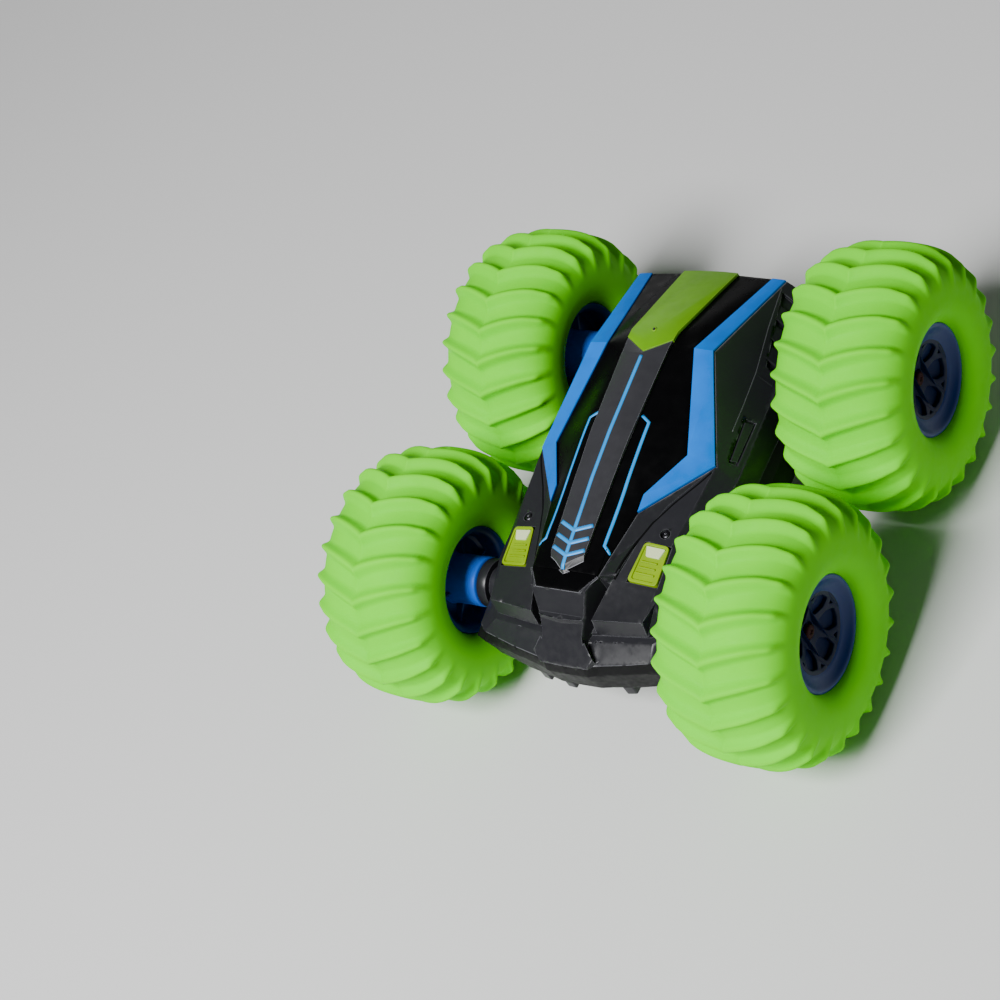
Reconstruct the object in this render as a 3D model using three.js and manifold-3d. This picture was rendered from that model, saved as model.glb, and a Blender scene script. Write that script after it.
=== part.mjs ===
// A four-wheel stunt car with a low wedge body, four large balloon tyres and one motor and gear
// train per side. Millimetres, +Z up, the nose towards -Y and the car's own left towards +X. The
// origin is on the ground under the middle of the car. Shapes are drawn with z = 0 at the height
// of the axles, and one group lifts the whole car onto its tyres.
import * as THREE from 'three';
import { mergeVertices } from 'three/addons/utils/BufferGeometryUtils.js';
import Module from 'manifold-3d';

const wasm = await Module();
wasm.setup();

// ---- Driving dimensions -------------------------------------------------------------------

const GAP = 0.3; // clearance between pieces that touch
const TYRE_RADIUS = 72.5; // over the lugs
const TYRE_CENTRE_X = 111;
const TYRE_HALF_WIDTH = 37;
const LUGS = 24;
const LUG_HEIGHT = 5;
const LUG_SWEEP = 0.157; // how far round the tyre, in radians, the shoulder end of a lug trails
const AXLE_Y = 80; // front axle at -AXLE_Y, rear axle at +AXLE_Y
const AXLE_RADIUS = 3;
const HUB_RADIUS = 13;
const HUB_END_X = 79; // inner end of the rim's hub tube
const COLLAR_RADIUS = 13.3; // of the axle collar between the hub tube and the body
const NECK_RADIUS = 10; // of the collar's narrow end, which runs through the body's side
const RIM_RADIUS = 30.2;
const RIM_INNER_X = 82.3;
const RIM_OUTER_X = 140.7;

const BODY_HALF_WIDTH = 65;
const NOSE_Y = -123;
const TAIL_Y = 121;
const BELLY_Z = -40;
const SHELL_DROP = 4.5; // vertical thickness of the upper shell, panel seats included
const CHANNEL_WALL = 2.2;
const FLOOR = 3.4;
const PANEL = 2; // thickness of the gloss hood panel
const RAISE = 2; // how far the ridge and the spine plate stand above the hood panel
const STRIPE_RAISE = 0.8;
const STRIPE_SEAT = 1.2;
const LAMP_SEAT = 2.2;
const LED_HOLE_RADIUS = 3.1;
const SLOT_DEPTH = 1.6;
const VENT_DEPTH = 2.2;

const MODULE = 2.5; // of every gear
const AXLE_TEETH = 12;
const IDLER_TEETH = 20;
const STAGE_TEETH = 24;
const PINION_TEETH = 8;
const TRAIN_X = 28; // inner face of the axle gears, the idlers and the small centre gear
const TRAIN_WIDTH = 7;
const STAGE_X = 20; // inner face of the large centre gear and the pinion
const STAGE_WIDTH = 5;
const PLATE_X = 15.6; // inner face of a gearbox plate
const PLATE_THICK = 2;
const MOTOR_RADIUS = 11.5;
const MOTOR_LENGTH = 27;
const MOTOR_Z = 22.6;

const DOOR_HALF_WIDTH = 29;
const DOOR_FRONT_Y = 36;
const DOOR_REAR_Y = 98;
const DOOR_RAIL = 1.6; // how far the door's side rails stand out, and their lower face
const DOOR_RAIL_Z = -38.5;
const SWITCH_Y = -56;
const LAMP_SCREW = { x: 44.8, y: -51.5, z: 28.2 };
const LED = { x: 43.4, y: -64, z: 14.5 };
const BELLY_SCREW = { x: 40, y: 20 };
const SCREW_RADIUS = 2.5; // of a screw's head
const SCREW_WELL_RADIUS = 2.9;

// ---- Colours ------------------------------------------------------------------------------

const LIME = { color: 0x78d83c, roughness: 0.55, metalness: 0 };
const NAVY = { color: 0x17365f, roughness: 0.4, metalness: 0 };
const CHARCOAL = { color: 0x35353a, roughness: 0.35, metalness: 0 };
const GLOSS_BLACK = { color: 0x060608, roughness: 0.08, metalness: 0 };
const SKY_BLUE = { color: 0x2aa2e0, roughness: 0.35, metalness: 0 };
const LAMP_GREEN = { color: 0xa6c81e, roughness: 0.35, metalness: 0 };
const LENS = { color: 0xe0eeb4, roughness: 0.15, metalness: 0 };
const STEEL = { color: 0xb8bcc0, roughness: 0.3, metalness: 1 };
const BLACK_PLASTIC = { color: 0x1c1c1f, roughness: 0.5, metalness: 0 };
const NYLON = { color: 0xe8e6dc, roughness: 0.5, metalness: 0 };
const BOARD_GREEN = { color: 0x1f6b3a, roughness: 0.45, metalness: 0 };
const WRAP_BLUE = { color: 0x2450a0, roughness: 0.3, metalness: 0 };

// ---- Solids -------------------------------------------------------------------------------

function solidOf(geometry) {
  const bare = geometry.index ? geometry.toNonIndexed() : geometry.clone();
  bare.deleteAttribute('normal');
  bare.deleteAttribute('uv');
  const merged = mergeVertices(bare, 1e-4);
  const mesh = new wasm.Mesh({
    numProp: 3,
    vertProperties: new Float32Array(merged.attributes.position.array),
    triVerts: new Uint32Array(merged.index.array),
  });
  return new wasm.Manifold(mesh);
}

function geometryOf(solid) {
  const mesh = solid.getMesh();
  const geometry = new THREE.BufferGeometry();
  geometry.setAttribute('position', new THREE.BufferAttribute(new Float32Array(mesh.vertProperties), 3));
  geometry.setIndex(new THREE.BufferAttribute(new Uint32Array(mesh.triVerts), 1));
  return geometry;
}

function shapeOf(points) {
  return new THREE.Shape(points.map(([u, v]) => new THREE.Vector2(u, v)));
}

// A plan outline, (x, y) points, standing from z0 to z1.
function prismZ(points, z0, z1, holes = []) {
  const shape = shapeOf(points);
  shape.holes = holes.map((hole) => shapeOf(hole));
  const geometry = new THREE.ExtrudeGeometry(shape, { depth: z1 - z0, bevelEnabled: false, steps: 1 });
  return solidOf(geometry.translate(0, 0, z0));
}

// A side outline, (y, z) points, running from x0 to x1.
function prismX(points, x0, x1, holes = []) {
  const shape = shapeOf(points);
  shape.holes = holes.map((hole) => shapeOf(hole));
  const geometry = new THREE.ExtrudeGeometry(shape, { depth: x1 - x0, bevelEnabled: false, steps: 1 });
  const turn = new THREE.Matrix4().makeBasis(
    new THREE.Vector3(0, 1, 0),
    new THREE.Vector3(0, 0, 1),
    new THREE.Vector3(1, 0, 0),
  );
  return solidOf(geometry.applyMatrix4(turn).translate(x0, 0, 0));
}

// A cross-section, (x, z) points, running from y0 to y1.
function prismY(points, y0, y1) {
  const shape = shapeOf(points);
  const geometry = new THREE.ExtrudeGeometry(shape, { depth: y1 - y0, bevelEnabled: false, steps: 1 });
  const turn = new THREE.Matrix4().makeBasis(
    new THREE.Vector3(1, 0, 0),
    new THREE.Vector3(0, 0, 1),
    new THREE.Vector3(0, -1, 0),
  );
  return solidOf(geometry.applyMatrix4(turn).translate(0, y1, 0));
}

function box(x0, x1, y0, y1, z0, z1) {
  const geometry = new THREE.BoxGeometry(x1 - x0, y1 - y0, z1 - z0);
  return solidOf(geometry.translate((x0 + x1) / 2, (y0 + y1) / 2, (z0 + z1) / 2));
}

// A closed profile of (radius, x) points turned about the X axis.
function turned(profile, segments) {
  const points = [...profile, profile[0]].map(([radius, along]) => new THREE.Vector2(radius, along));
  return solidOf(new THREE.LatheGeometry(points, segments).rotateZ(-Math.PI / 2));
}

// A plain round bar along X with its axis at (y, z).
function barX(radius, x0, x1, y = 0, z = 0, segments = 16) {
  const geometry = new THREE.CylinderGeometry(radius, radius, x1 - x0, segments);
  return solidOf(geometry.rotateZ(-Math.PI / 2).translate((x0 + x1) / 2, y, z));
}

// A plain round bar along Z with its axis at (x, y).
function barZ(radius, z0, z1, x = 0, y = 0, segments = 16) {
  const geometry = new THREE.CylinderGeometry(radius, radius, z1 - z0, segments);
  return solidOf(geometry.rotateX(Math.PI / 2).translate(x, y, (z0 + z1) / 2));
}

// A closed body through rings of points. Each end is closed by a fan about the ring's middle.
function loft(rings) {
  const count = rings[0].length;
  const last = rings.length - 1;
  const middle = (ring) => [0, 1, 2].map((k) => ring.reduce((sum, p) => sum + p[k], 0) / count);
  const positions = [...rings.flat(), middle(rings[0]), middle(rings[last])];
  const index = [];
  for (let i = 0; i < count; i += 1) {
    const j = (i + 1) % count;
    for (let r = 0; r < last; r += 1) {
      const [a, b] = [r * count + i, r * count + j];
      index.push(a, b, b + count, a, b + count, a + count);
    }
    index.push(j, i, rings.length * count);
    index.push(last * count + i, last * count + j, rings.length * count + 1);
  }
  const geometry = new THREE.BufferGeometry();
  geometry.setAttribute('position', new THREE.Float32BufferAttribute(positions.flat(), 3));
  geometry.setIndex(index);
  const merged = mergeVertices(geometry, 1e-4);
  const all = merged.index.array;
  const kept = [];
  for (let i = 0; i < all.length; i += 3) {
    const [a, b, c] = [all[i], all[i + 1], all[i + 2]];
    if (a !== b && b !== c && c !== a) kept.push(a, b, c);
  }
  merged.setIndex(signedVolume(merged.attributes.position, kept) < 0 ? flipped(kept) : kept);
  return solidOf(merged);
}

function signedVolume(position, index) {
  const [a, b, c] = [new THREE.Vector3(), new THREE.Vector3(), new THREE.Vector3()];
  let sum = 0;
  for (let i = 0; i < index.length; i += 3) {
    a.fromBufferAttribute(position, index[i]);
    b.fromBufferAttribute(position, index[i + 1]);
    c.fromBufferAttribute(position, index[i + 2]);
    sum += a.dot(b.cross(c));
  }
  return sum;
}

function flipped(index) {
  const out = [];
  for (let i = 0; i < index.length; i += 3) out.push(index[i], index[i + 2], index[i + 1]);
  return out;
}

const mirrored = (points) => [
  ...points,
  ...points.filter(([u]) => u !== 0).reverse().map(([u, v]) => [-u, v]),
];

// Plan outlines of the right half, front middle to rear middle, stacked in z.
function stack(levels) {
  return loft(levels.map(({ z, half }) => mirrored(half).map(([x, y]) => [x, y, z])));
}

// Half cross-sections, top middle to bottom, placed along y and closed along the bottom.
function sections(stations) {
  return loft(stations.map(({ y, half }) => mirrored(half).map(([x, z]) => [x, y, z])));
}

// Moves every edge of an outline sideways by `distance`, outwards when it is positive.
function offset(points, distance) {
  const turn = THREE.ShapeUtils.area(points.map(([x, y]) => new THREE.Vector2(x, y))) > 0 ? 1 : -1;
  const count = points.length;
  return points.map((point, i) => {
    const before = points[(i + count - 1) % count];
    const after = points[(i + 1) % count];
    const a = [point[0] - before[0], point[1] - before[1]];
    const b = [after[0] - point[0], after[1] - point[1]];
    const na = [turn * a[1], -turn * a[0]].map((v) => v / Math.hypot(...a));
    const nb = [turn * b[1], -turn * b[0]].map((v) => v / Math.hypot(...b));
    const scale = distance / (1 + na[0] * nb[0] + na[1] * nb[1]);
    return [point[0] + (na[0] + nb[0]) * scale, point[1] + (na[1] + nb[1]) * scale];
  });
}

// Shapes are drawn for the car's own left side, at +X. These move them to the other side.
const flip = (points, side) => (side > 0 ? points : points.map(([x, y]) => [-x, y]));
const mirrorTo = (solid, side) => (side > 0 ? solid : solid.mirror([1, 0, 0]));

// ---- The shape of the body ----------------------------------------------------------------

// A rail is an edge that runs along the body: [y, x, z] points, straight between them.
function rail(points) {
  return (y) => {
    if (y <= points[0][0]) return points[0].slice(1);
    for (let i = 1; i < points.length; i += 1) {
      const [y1, x1, z1] = points[i];
      if (y <= y1) {
        const [y0, x0, z0] = points[i - 1];
        const t = (y - y0) / (y1 - y0);
        return [x0 + (x1 - x0) * t, z0 + (z1 - z0) * t];
      }
    }
    return points[points.length - 1].slice(1);
  };
}

const HOOD_FRONT = [-95.4, 14, 33.4];
const HOOD_CORNER = [-85.1, 20.9, 34];
const STRIPE_TIP = [-45.5, 28.2, 36];
const STRIPE_NOTCH = [-35.1, 28.3, 37.8];
const STRIPE_LOW_INNER = [-7.6, 42.8, 37.3];
const STRIPE_LOW_OUTER = [-7.6, 56.8, 29.8];
const STRIPE_HIGH_INNER = [50, 28.4, 53.6];
const STRIPE_HIGH_OUTER = [50, 40.2, 52.6];
const STRIPE_END_INNER = [118, 40.2, 32.4];
const STRIPE_END_OUTER = [118, 48.6, 31.9];

const crown = rail([
  [-85.1, 0, 35.4], [-79, 0, 37.2], [-56, 0, 41.9], [-35.1, 0, 46.3], [-7.6, 0, 50.5], [41.3, 0, 55.2],
  [58.8, 0, 54.8], [118, 0, 33.1], [125, 0, 30.5],
]);
const hoodBreak = rail([
  [-85.1, 19, 34.6], [-56, 19, 39.9], [-7.6, 19, 48.8], [50, 19, 54.2], [58.8, 20, 53.8], [125, 24, 30.3],
]);
const hoodEdge = rail([
  HOOD_CORNER, STRIPE_TIP, STRIPE_NOTCH, STRIPE_LOW_INNER, STRIPE_HIGH_INNER, STRIPE_END_INNER,
  [125, 41.2, 30.1],
]);
const stripeEdge = rail([
  HOOD_CORNER, STRIPE_TIP, STRIPE_LOW_OUTER, STRIPE_HIGH_OUTER, STRIPE_END_OUTER, [125, 49.5, 29.8],
]);
const wallFoot = rail([
  [-85.1, 23.4, 25.8], [-79, 27, 28], [-56, 33, 30], [-35.1, 41, 30], STRIPE_LOW_OUTER,
  STRIPE_HIGH_OUTER, STRIPE_END_OUTER, [125, 49.5, 29.8],
]);
const flankTop = rail([[-85.1, 23.4, 16], [-35.1, 41, 16], [-7.6, 64.4, 17], [125, 58.1, 16]]);
const flankFoot = rail([
  [-85.1, 23.4, 0], [-35.1, 41, 0], [-7.6, BODY_HALF_WIDTH, 0], [125, BODY_HALF_WIDTH, 0],
]);

const CABIN_STATIONS = [-85.1, -79, -56, -45.5, -35.1, -7.6, 41.3, 50, 58.8, 118, 125];
const cabin = sections(CABIN_STATIONS.map((y) => ({
  y,
  half: [crown, hoodBreak, hoodEdge, stripeEdge, wallFoot, flankTop, flankFoot].map((edge) => edge(y)),
})));

// The fenders: a broad sloping top over the front wheels' inner side.
const fenderInner = rail([[-125, 20, 17], [-103, 20, 21.4], [-81, 20, 27.1], [-58, 20, 32], [-7.6, 20, 36]]);
const fenderCrest = rail([
  [-125, 49, 15], [-103, 49.5, 19.6], [-81, 50.8, 23.3], [-58, 50.7, 26.9], [-35.1, 54, 28.4],
  [-7.6, 56.8, 29.8],
]);
const fenderEdge = rail([
  [-125, 58, 12], [-103, 57, 15.8], [-81, 58.4, 18.4], [-58, 59, 19], [-35.1, 62, 19], [-7.6, 64.4, 17],
]);
const fender = sections([-125, -103, -81, -58, -35.1, -7.6].map((y) => ({
  y,
  half: [[0, fenderInner(y)[1]], fenderInner(y), fenderCrest(y), fenderEdge(y), [BODY_HALF_WIDTH, 0]],
})));

// Plan outlines of the upper body. The front is a lip, a slope, a dark recessed band and a face.
const SIDE = BODY_HALF_WIDTH;
const LIP = [
  [0, NOSE_Y], [13, -122.9], [18.6, -120], [36, -116.6], [50, -113.1], [60, -110.5], [SIDE, -106],
  [SIDE, -70], [SIDE, -7], [SIDE, 100], [60, 118], [0, TAIL_Y],
];
const upperOutline = stack([
  { z: 0, half: LIP },
  { z: 6.5, half: [
    [0, -109.5], [12, -109], [18, -108.5], [36, -106.7], [51, -105], [57, -99], [62, -88],
    [64.4, -68], [SIDE, -7], [SIDE, 99.6], [59.6, 117.4], [0, 120.4],
  ] },
  { z: 7, half: [
    [0, -106.2], [12, -105.8], [18, -105.2], [36, -103.2], [49.5, -101.6], [55.2, -96.6], [60.2, -86.6],
    [63, -67], [SIDE, -7], [SIDE, 99.6], [59.6, 117.4], [0, 120.4],
  ] },
  { z: 9.6, half: [
    [0, -105.8], [12, -105.4], [18, -104.8], [36, -102.8], [48.8, -101.2], [54.4, -95.4], [59, -85.6],
    [62.6, -66.6], [SIDE, -7], [SIDE, 99.4], [59.4, 117.2], [0, 120.2],
  ] },
  { z: 10, half: [
    [0, -108.2], [12, -107.6], [18, -106.8], [36, -104.7], [49, -103.1], [55, -95], [60, -84],
    [63.4, -66], [SIDE, -7], [SIDE, 99.2], [59.2, 117], [0, 120],
  ] },
  { z: 20, half: [
    [0, -106.6], [12, -105.8], [19.5, -104.5], [36, -102.6], [49.5, -101], [52, -89], [55.6, -78],
    [59.4, -66], [SIDE, -7], [SIDE, 98.4], [58, 116.4], [0, 119.4],
  ] },
  { z: 34, half: [
    [0, -106.6], [12, -105.8], [19.5, -104.5], [36, -102.6], [49.5, -101], [52, -89], [55.6, -78],
    [59.4, -66], [SIDE, -7], [SIDE, 97], [56, 115], [0, 118.4],
  ] },
  { z: 62, half: [
    [0, -106.6], [12, -105.8], [19.5, -104.5], [36, -102.6], [49.5, -101], [52, -89], [55.6, -78],
    [59.4, -66], [SIDE, -7], [SIDE, 95], [56, 113], [0, 116.4],
  ] },
]);

// The nose: a narrow block that carries the tip of the hood down to the lip.
const nose = prismX(
  [[-123, 0], [-70, 0], [-70, 36.6], [-85.1, 34.4], [-95.4, 33.4], [-104.5, 20], [-123, 1.4]], -24, 24,
).intersect(prismZ(mirrored([
  [0, -123], [15.5, -122.6], [19, -119], [12.6, -111], [14, -105], [20.9, -85.1], [21, -70], [0, -70],
]), -1, 60));

// The dark channel between the nose and the fender, closing towards the lip. `wall` widens it.
function channel(side, wall) {
  const outline = [
    [20.9, -85.1], [24.4, -84], [19.8, -104.5], [17.4, -110.5], [13.4, -114], [12.6, -111], [14, -105],
  ];
  const above = prismX([[-60, 17], [-84, 17], [-104.5, 9], [-116, 3.5], [-116, 60], [-60, 60]], -30, 30);
  return prismZ(offset(flip(outline, side), wall), -1, 60).intersect(above);
}

function upperBody(wall) {
  return cabin.add(fender).intersect(upperOutline).add(nose)
    .subtract(channel(1, wall)).subtract(channel(-1, wall));
}

const upperOuter = upperBody(0);
const lowered = (distance) => upperOuter.translate([0, 0, -distance]);

// Plan outlines of the pieces let into the top.
const plan = ([y, x]) => [x, y];
const hoodPlan = mirrored([
  [0, HOOD_FRONT[0]], plan(HOOD_FRONT), plan(HOOD_CORNER), plan(STRIPE_TIP), plan(STRIPE_NOTCH),
  plan(STRIPE_LOW_INNER), plan(STRIPE_HIGH_INNER), plan(STRIPE_END_INNER), [0, 118],
]);
const stripePlan = [
  plan(STRIPE_TIP), plan(STRIPE_LOW_OUTER), plan(STRIPE_HIGH_OUTER), plan(STRIPE_END_OUTER),
  plan(STRIPE_END_INNER), plan(STRIPE_HIGH_INNER), plan(STRIPE_LOW_INNER), plan(STRIPE_NOTCH),
];
const ridgePlan = mirrored([
  [0, -87.2], [8.6, -82.6], [10.6, -79], [13.3, 6], [14.4, 52.4], [0, 43.2],
]);
const platePlan = mirrored([[0, 43.6], [14.8, 52.9], [17.7, 118], [0, 118]]);
const lampPlan = [[50.8, -58.2], [36.2, -58.2], [33, -81], [50.8, -81]];
const lampWellPlan = [[48.9, -60.1], [37.9, -60.1], [35.1, -79.1], [48.9, -79.1]];
const lensPlan = [[48.5, -60.5], [38.2, -60.5], [37.2, -67.4], [48.5, -67.4]];

// ---- Upper body pieces ---------------------------------------------------------------------

function upperShell() {
  const inside = prismZ(mirrored([
    [0, -101], [47, -98.5], [50, -88], [57, -66], [62.4, -30], [62.4, 96], [55, 111.5], [0, 114],
  ]), -10, 60);
  const hollow = upperBody(CHANNEL_WALL).translate([0, 0, -SHELL_DROP]).intersect(inside);
  let shell = upperOuter.subtract(hollow);
  shell = shell.subtract(prismZ(offset(hoodPlan, GAP), 0, 70).subtract(lowered(PANEL + GAP)));
  for (const side of [1, -1]) {
    const stripe = prismZ(offset(flip(stripePlan, side), GAP), 0, 70);
    shell = shell.subtract(stripe.subtract(lowered(STRIPE_SEAT + GAP)));
    const lamp = prismZ(offset(flip(lampPlan, side), GAP), 0, 70);
    shell = shell.subtract(lamp.subtract(lowered(LAMP_SEAT + GAP)));
    const wellFloor = LAMP_SCREW.z - 1.8;
    shell = shell.subtract(barZ(LED_HOLE_RADIUS, 10, 40, side * LED.x, LED.y, 12));
    shell = shell.subtract(barZ(SCREW_WELL_RADIUS, wellFloor, 40, side * LAMP_SCREW.x, LAMP_SCREW.y, 12));
    for (const y of [-AXLE_Y, AXLE_Y]) {
      shell = shell.subtract(mirrorTo(barX(NECK_RADIUS + 0.4, 50, 70, y, 0, 16), side));
    }
    shell = shell.subtract(mirrorTo(flankSlot(), side)).subtract(mirrorTo(rearVent(), side));
  }
  return shell;
}

// A shallow slot in the leaning side of the cabin, with its floor parallel to the side.
function flankSlot() {
  const outline = [[27, 25.6], [29.2, 19.2], [0.6, 19.9], [-1.2, 24.8]];
  return prismX(outline, 50, 80).subtract(upperOuter.translate([-SLOT_DEPTH, 0, 0]));
}

// A wider pocket behind it, over the rear wheel.
function rearVent() {
  const outline = [[62, 25.5], [86, 29.2], [108, 32], [107, 19.6], [62, 18.4]];
  return prismX(outline, 40, 80).subtract(upperOuter.translate([-VENT_DEPTH, 0, 0]));
}

function hoodPanel() {
  return upperOuter.intersect(prismZ(hoodPlan, 0, 70)).subtract(lowered(PANEL));
}

function centreRidge() {
  return lowered(-RAISE).intersect(prismZ(ridgePlan, 0, 70)).subtract(lowered(-GAP));
}

function spinePlate() {
  return lowered(-RAISE - 0.3).intersect(prismZ(platePlan, 0, 70)).subtract(lowered(-GAP));
}

function stripe(side) {
  const outline = offset(flip(stripePlan, side), -GAP / 2);
  return lowered(-STRIPE_RAISE).intersect(prismZ(outline, 0, 70)).subtract(lowered(STRIPE_SEAT));
}

function lampCover(side) {
  let cover = lowered(-1.4).intersect(prismZ(flip(lampPlan, side), 0, 70)).subtract(lowered(LAMP_SEAT));
  cover = cover.subtract(prismZ(flip(lampWellPlan, side), 0, 70).subtract(lowered(-0.2)));
  cover = cover.subtract(prismZ(offset(flip(lensPlan, side), GAP), 0, 70));
  return cover;
}

function lampLens(side) {
  return lowered(-0.7).intersect(prismZ(flip(lensPlan, side), 0, 70)).subtract(lowered(1.8));
}

function lampLed(side) {
  const bulb = barZ(2.5, LED.z, LED.z + 8, side * LED.x, LED.y, 12);
  return bulb.add(barZ(3.6, LED.z - 1.5, LED.z + 0.1, side * LED.x, LED.y, 12));
}

function lampScrew(side) {
  const { x, y, z } = LAMP_SCREW;
  return barZ(SCREW_RADIUS, z - 1.4, z + 0.2, side * x, y, 12);
}

// ---- Lower body pieces ---------------------------------------------------------------------

// The tub flares out under the lip to a waist, then tapers in to the flat belly.
const LOWER_LEVELS = [
  { z: -GAP, half: [
    [0, -122.6], [13, -122.4], [18.8, -119.6], [36, -116.2], [50, -112.8], [60, -110], [64.6, -106],
    [64.8, -70], [64.8, -7], [64.8, 100], [59.8, 117.8], [0, 120.8],
  ] },
  { z: -6, half: [
    [0, -124.2], [13, -124], [20, -121.6], [36, -118.4], [50, -115.4], [61, -113.6], [68.6, -110.5],
    [68, -70], [68, -7], [68, 100], [61.5, 119], [0, 122],
  ] },
  { z: -21, half: [
    [0, -121.6], [13, -121.4], [20, -119.8], [36, -117], [50, -113.4], [60.5, -111], [67.6, -106.5],
    [69.6, -70], [69.6, -7], [69.6, 98], [63, 117], [0, 120],
  ] },
  { z: -25, half: [
    [0, -117], [13, -116.8], [20, -115.4], [36, -112.6], [50, -109], [59, -106], [64.5, -100],
    [66, -70], [66, -7], [66, 95], [59, 112], [0, 116],
  ] },
  { z: BELLY_Z, half: [
    [0, -97], [11, -96.8], [17, -96], [32, -94], [42, -91.5], [47, -88], [50, -80],
    [50.5, -65], [50.5, -7], [50.5, 84], [46, 95], [0, 99],
  ] },
];

function lowerShell() {
  const inset = LOWER_LEVELS.map(({ z, half }) => ({
    z: z > -1 ? 1 : Math.max(z, BELLY_Z + FLOOR),
    half: half.map(([x, y]) => [x * 0.96, y + (y < 0 ? 3.4 : -3.4)]),
  }));
  let shell = stack(LOWER_LEVELS).subtract(stack(inset));
  const doorHalf = DOOR_HALF_WIDTH + GAP;
  const doorway = box(-doorHalf, doorHalf, DOOR_FRONT_Y - GAP, 112, BELLY_Z - 1, BELLY_Z + FLOOR + 0.2);
  const grooveHalf = DOOR_HALF_WIDTH + DOOR_RAIL + 0.4;
  const grooves = box(-grooveHalf, grooveHalf, DOOR_FRONT_Y + 4, 112, DOOR_RAIL_Z - 0.4, DOOR_RAIL_Z + 1.2);
  shell = shell.subtract(doorway).subtract(grooves);
  shell = shell.subtract(box(-6.5, 6.5, SWITCH_Y - 3, SWITCH_Y + 3, BELLY_Z - 1, BELLY_Z + 6));
  for (const y of [-AXLE_Y, AXLE_Y]) {
    for (const side of [1, -1]) {
      shell = shell.subtract(mirrorTo(barX(NECK_RADIUS + 0.4, 56, 72, y, 0, 16), side));
      shell = shell.subtract(mirrorTo(barX(COLLAR_RADIUS + 0.4, SIDE, 72, y, 0, 16), side));
    }
  }
  for (const side of [1, -1]) {
    const { x, y } = BELLY_SCREW;
    shell = shell.subtract(barZ(SCREW_WELL_RADIUS, BELLY_Z - 1, BELLY_Z + 1.8, side * x, y, 12));
  }
  return shell;
}

function batteryDoor() {
  const top = BELLY_Z + FLOOR - 0.4;
  let door = box(-DOOR_HALF_WIDTH, DOOR_HALF_WIDTH, DOOR_FRONT_Y, DOOR_REAR_Y, BELLY_Z, top);
  const railHalf = DOOR_HALF_WIDTH + DOOR_RAIL;
  door = door.add(box(-railHalf, railHalf, DOOR_FRONT_Y + 4.6, DOOR_REAR_Y, DOOR_RAIL_Z, DOOR_RAIL_Z + 0.8));
  for (let i = 0; i < 4; i += 1) {
    const y = DOOR_REAR_Y - 16 + i * 3.4;
    door = door.subtract(box(-14, 14, y, y + 1.6, BELLY_Z - 1, BELLY_Z + 0.8));
  }
  return door.subtract(barZ(3.2, BELLY_Z - 1, BELLY_Z + 2, 0, DOOR_FRONT_Y + 7, 12));
}

function bellyScrew(x, y) {
  return barZ(SCREW_RADIUS, BELLY_Z + 0.2, BELLY_Z + 1.5, x, y, 12);
}

function switchKnob() {
  return box(-4.3, -0.3, SWITCH_Y - 2.2, SWITCH_Y + 2.2, BELLY_Z + 0.4, BELLY_Z + 6.6)
    .add(box(-4.3, -0.3, SWITCH_Y - 1.2, SWITCH_Y + 1.2, BELLY_Z - 0.3, BELLY_Z + 1));
}

function switchBody() {
  return box(-9, 9, SWITCH_Y - 5, SWITCH_Y + 5, BELLY_Z + 7, BELLY_Z + 13);
}

// ---- Drive ---------------------------------------------------------------------------------

// A gear outline of straight-sided teeth, in the (y, z) plane. `first` is the angle of one tooth.
function gearOutline(teeth, first) {
  const pitch = (MODULE * teeth) / 2;
  const step = (2 * Math.PI) / teeth;
  const root = pitch - 1.2 * MODULE;
  const tip = pitch + 0.8 * MODULE;
  const points = [];
  for (let i = 0; i < teeth; i += 1) {
    const middle = first + i * step;
    for (const [radius, share] of [[root, -0.3], [tip, -0.1], [tip, 0.1], [root, 0.3]]) {
      const angle = middle + share * step;
      points.push([radius * Math.cos(angle), radius * Math.sin(angle)]);
    }
  }
  return points;
}

function circle(radius, segments) {
  return Array.from({ length: segments }, (_, i) => {
    const angle = (2 * Math.PI * i) / segments;
    return [radius * Math.cos(angle), radius * Math.sin(angle)];
  });
}

function gear(teeth, first, bore, x0, width) {
  return prismX(gearOutline(teeth, first), x0, x0 + width, [circle(bore, 8)]);
}

const MOTOR_Y = Math.sqrt(((STAGE_TEETH + PINION_TEETH) * MODULE / 2) ** 2 - MOTOR_Z ** 2);
const BORE = AXLE_RADIUS + GAP;
const IDLER_GAP_PHASE = Math.PI / IDLER_TEETH;

// The large centre gear and the small one beside it, in one piece, on the pin at y = 0.
function centreGear(motorSide) {
  const towardsMotor = Math.atan2(MOTOR_Z, motorSide * MOTOR_Y);
  const large = gear(STAGE_TEETH, towardsMotor, BORE, STAGE_X, STAGE_WIDTH);
  const small = gear(AXLE_TEETH, 0, BORE, TRAIN_X, TRAIN_WIDTH);
  const neck = prismX(circle(8, 10), STAGE_X + STAGE_WIDTH - 0.5, TRAIN_X + 0.5, [circle(BORE, 8)]);
  return large.add(neck).add(small);
}

function pinion(motorSide) {
  const towardsGear = Math.atan2(-MOTOR_Z, -motorSide * MOTOR_Y);
  const outline = gearOutline(PINION_TEETH, towardsGear + Math.PI / PINION_TEETH);
  const teeth = prismX(outline, STAGE_X, STAGE_X + STAGE_WIDTH);
  return teeth.add(barX(1.6, 14.4, STAGE_X + 1, 0, 0, 10));
}

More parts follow.
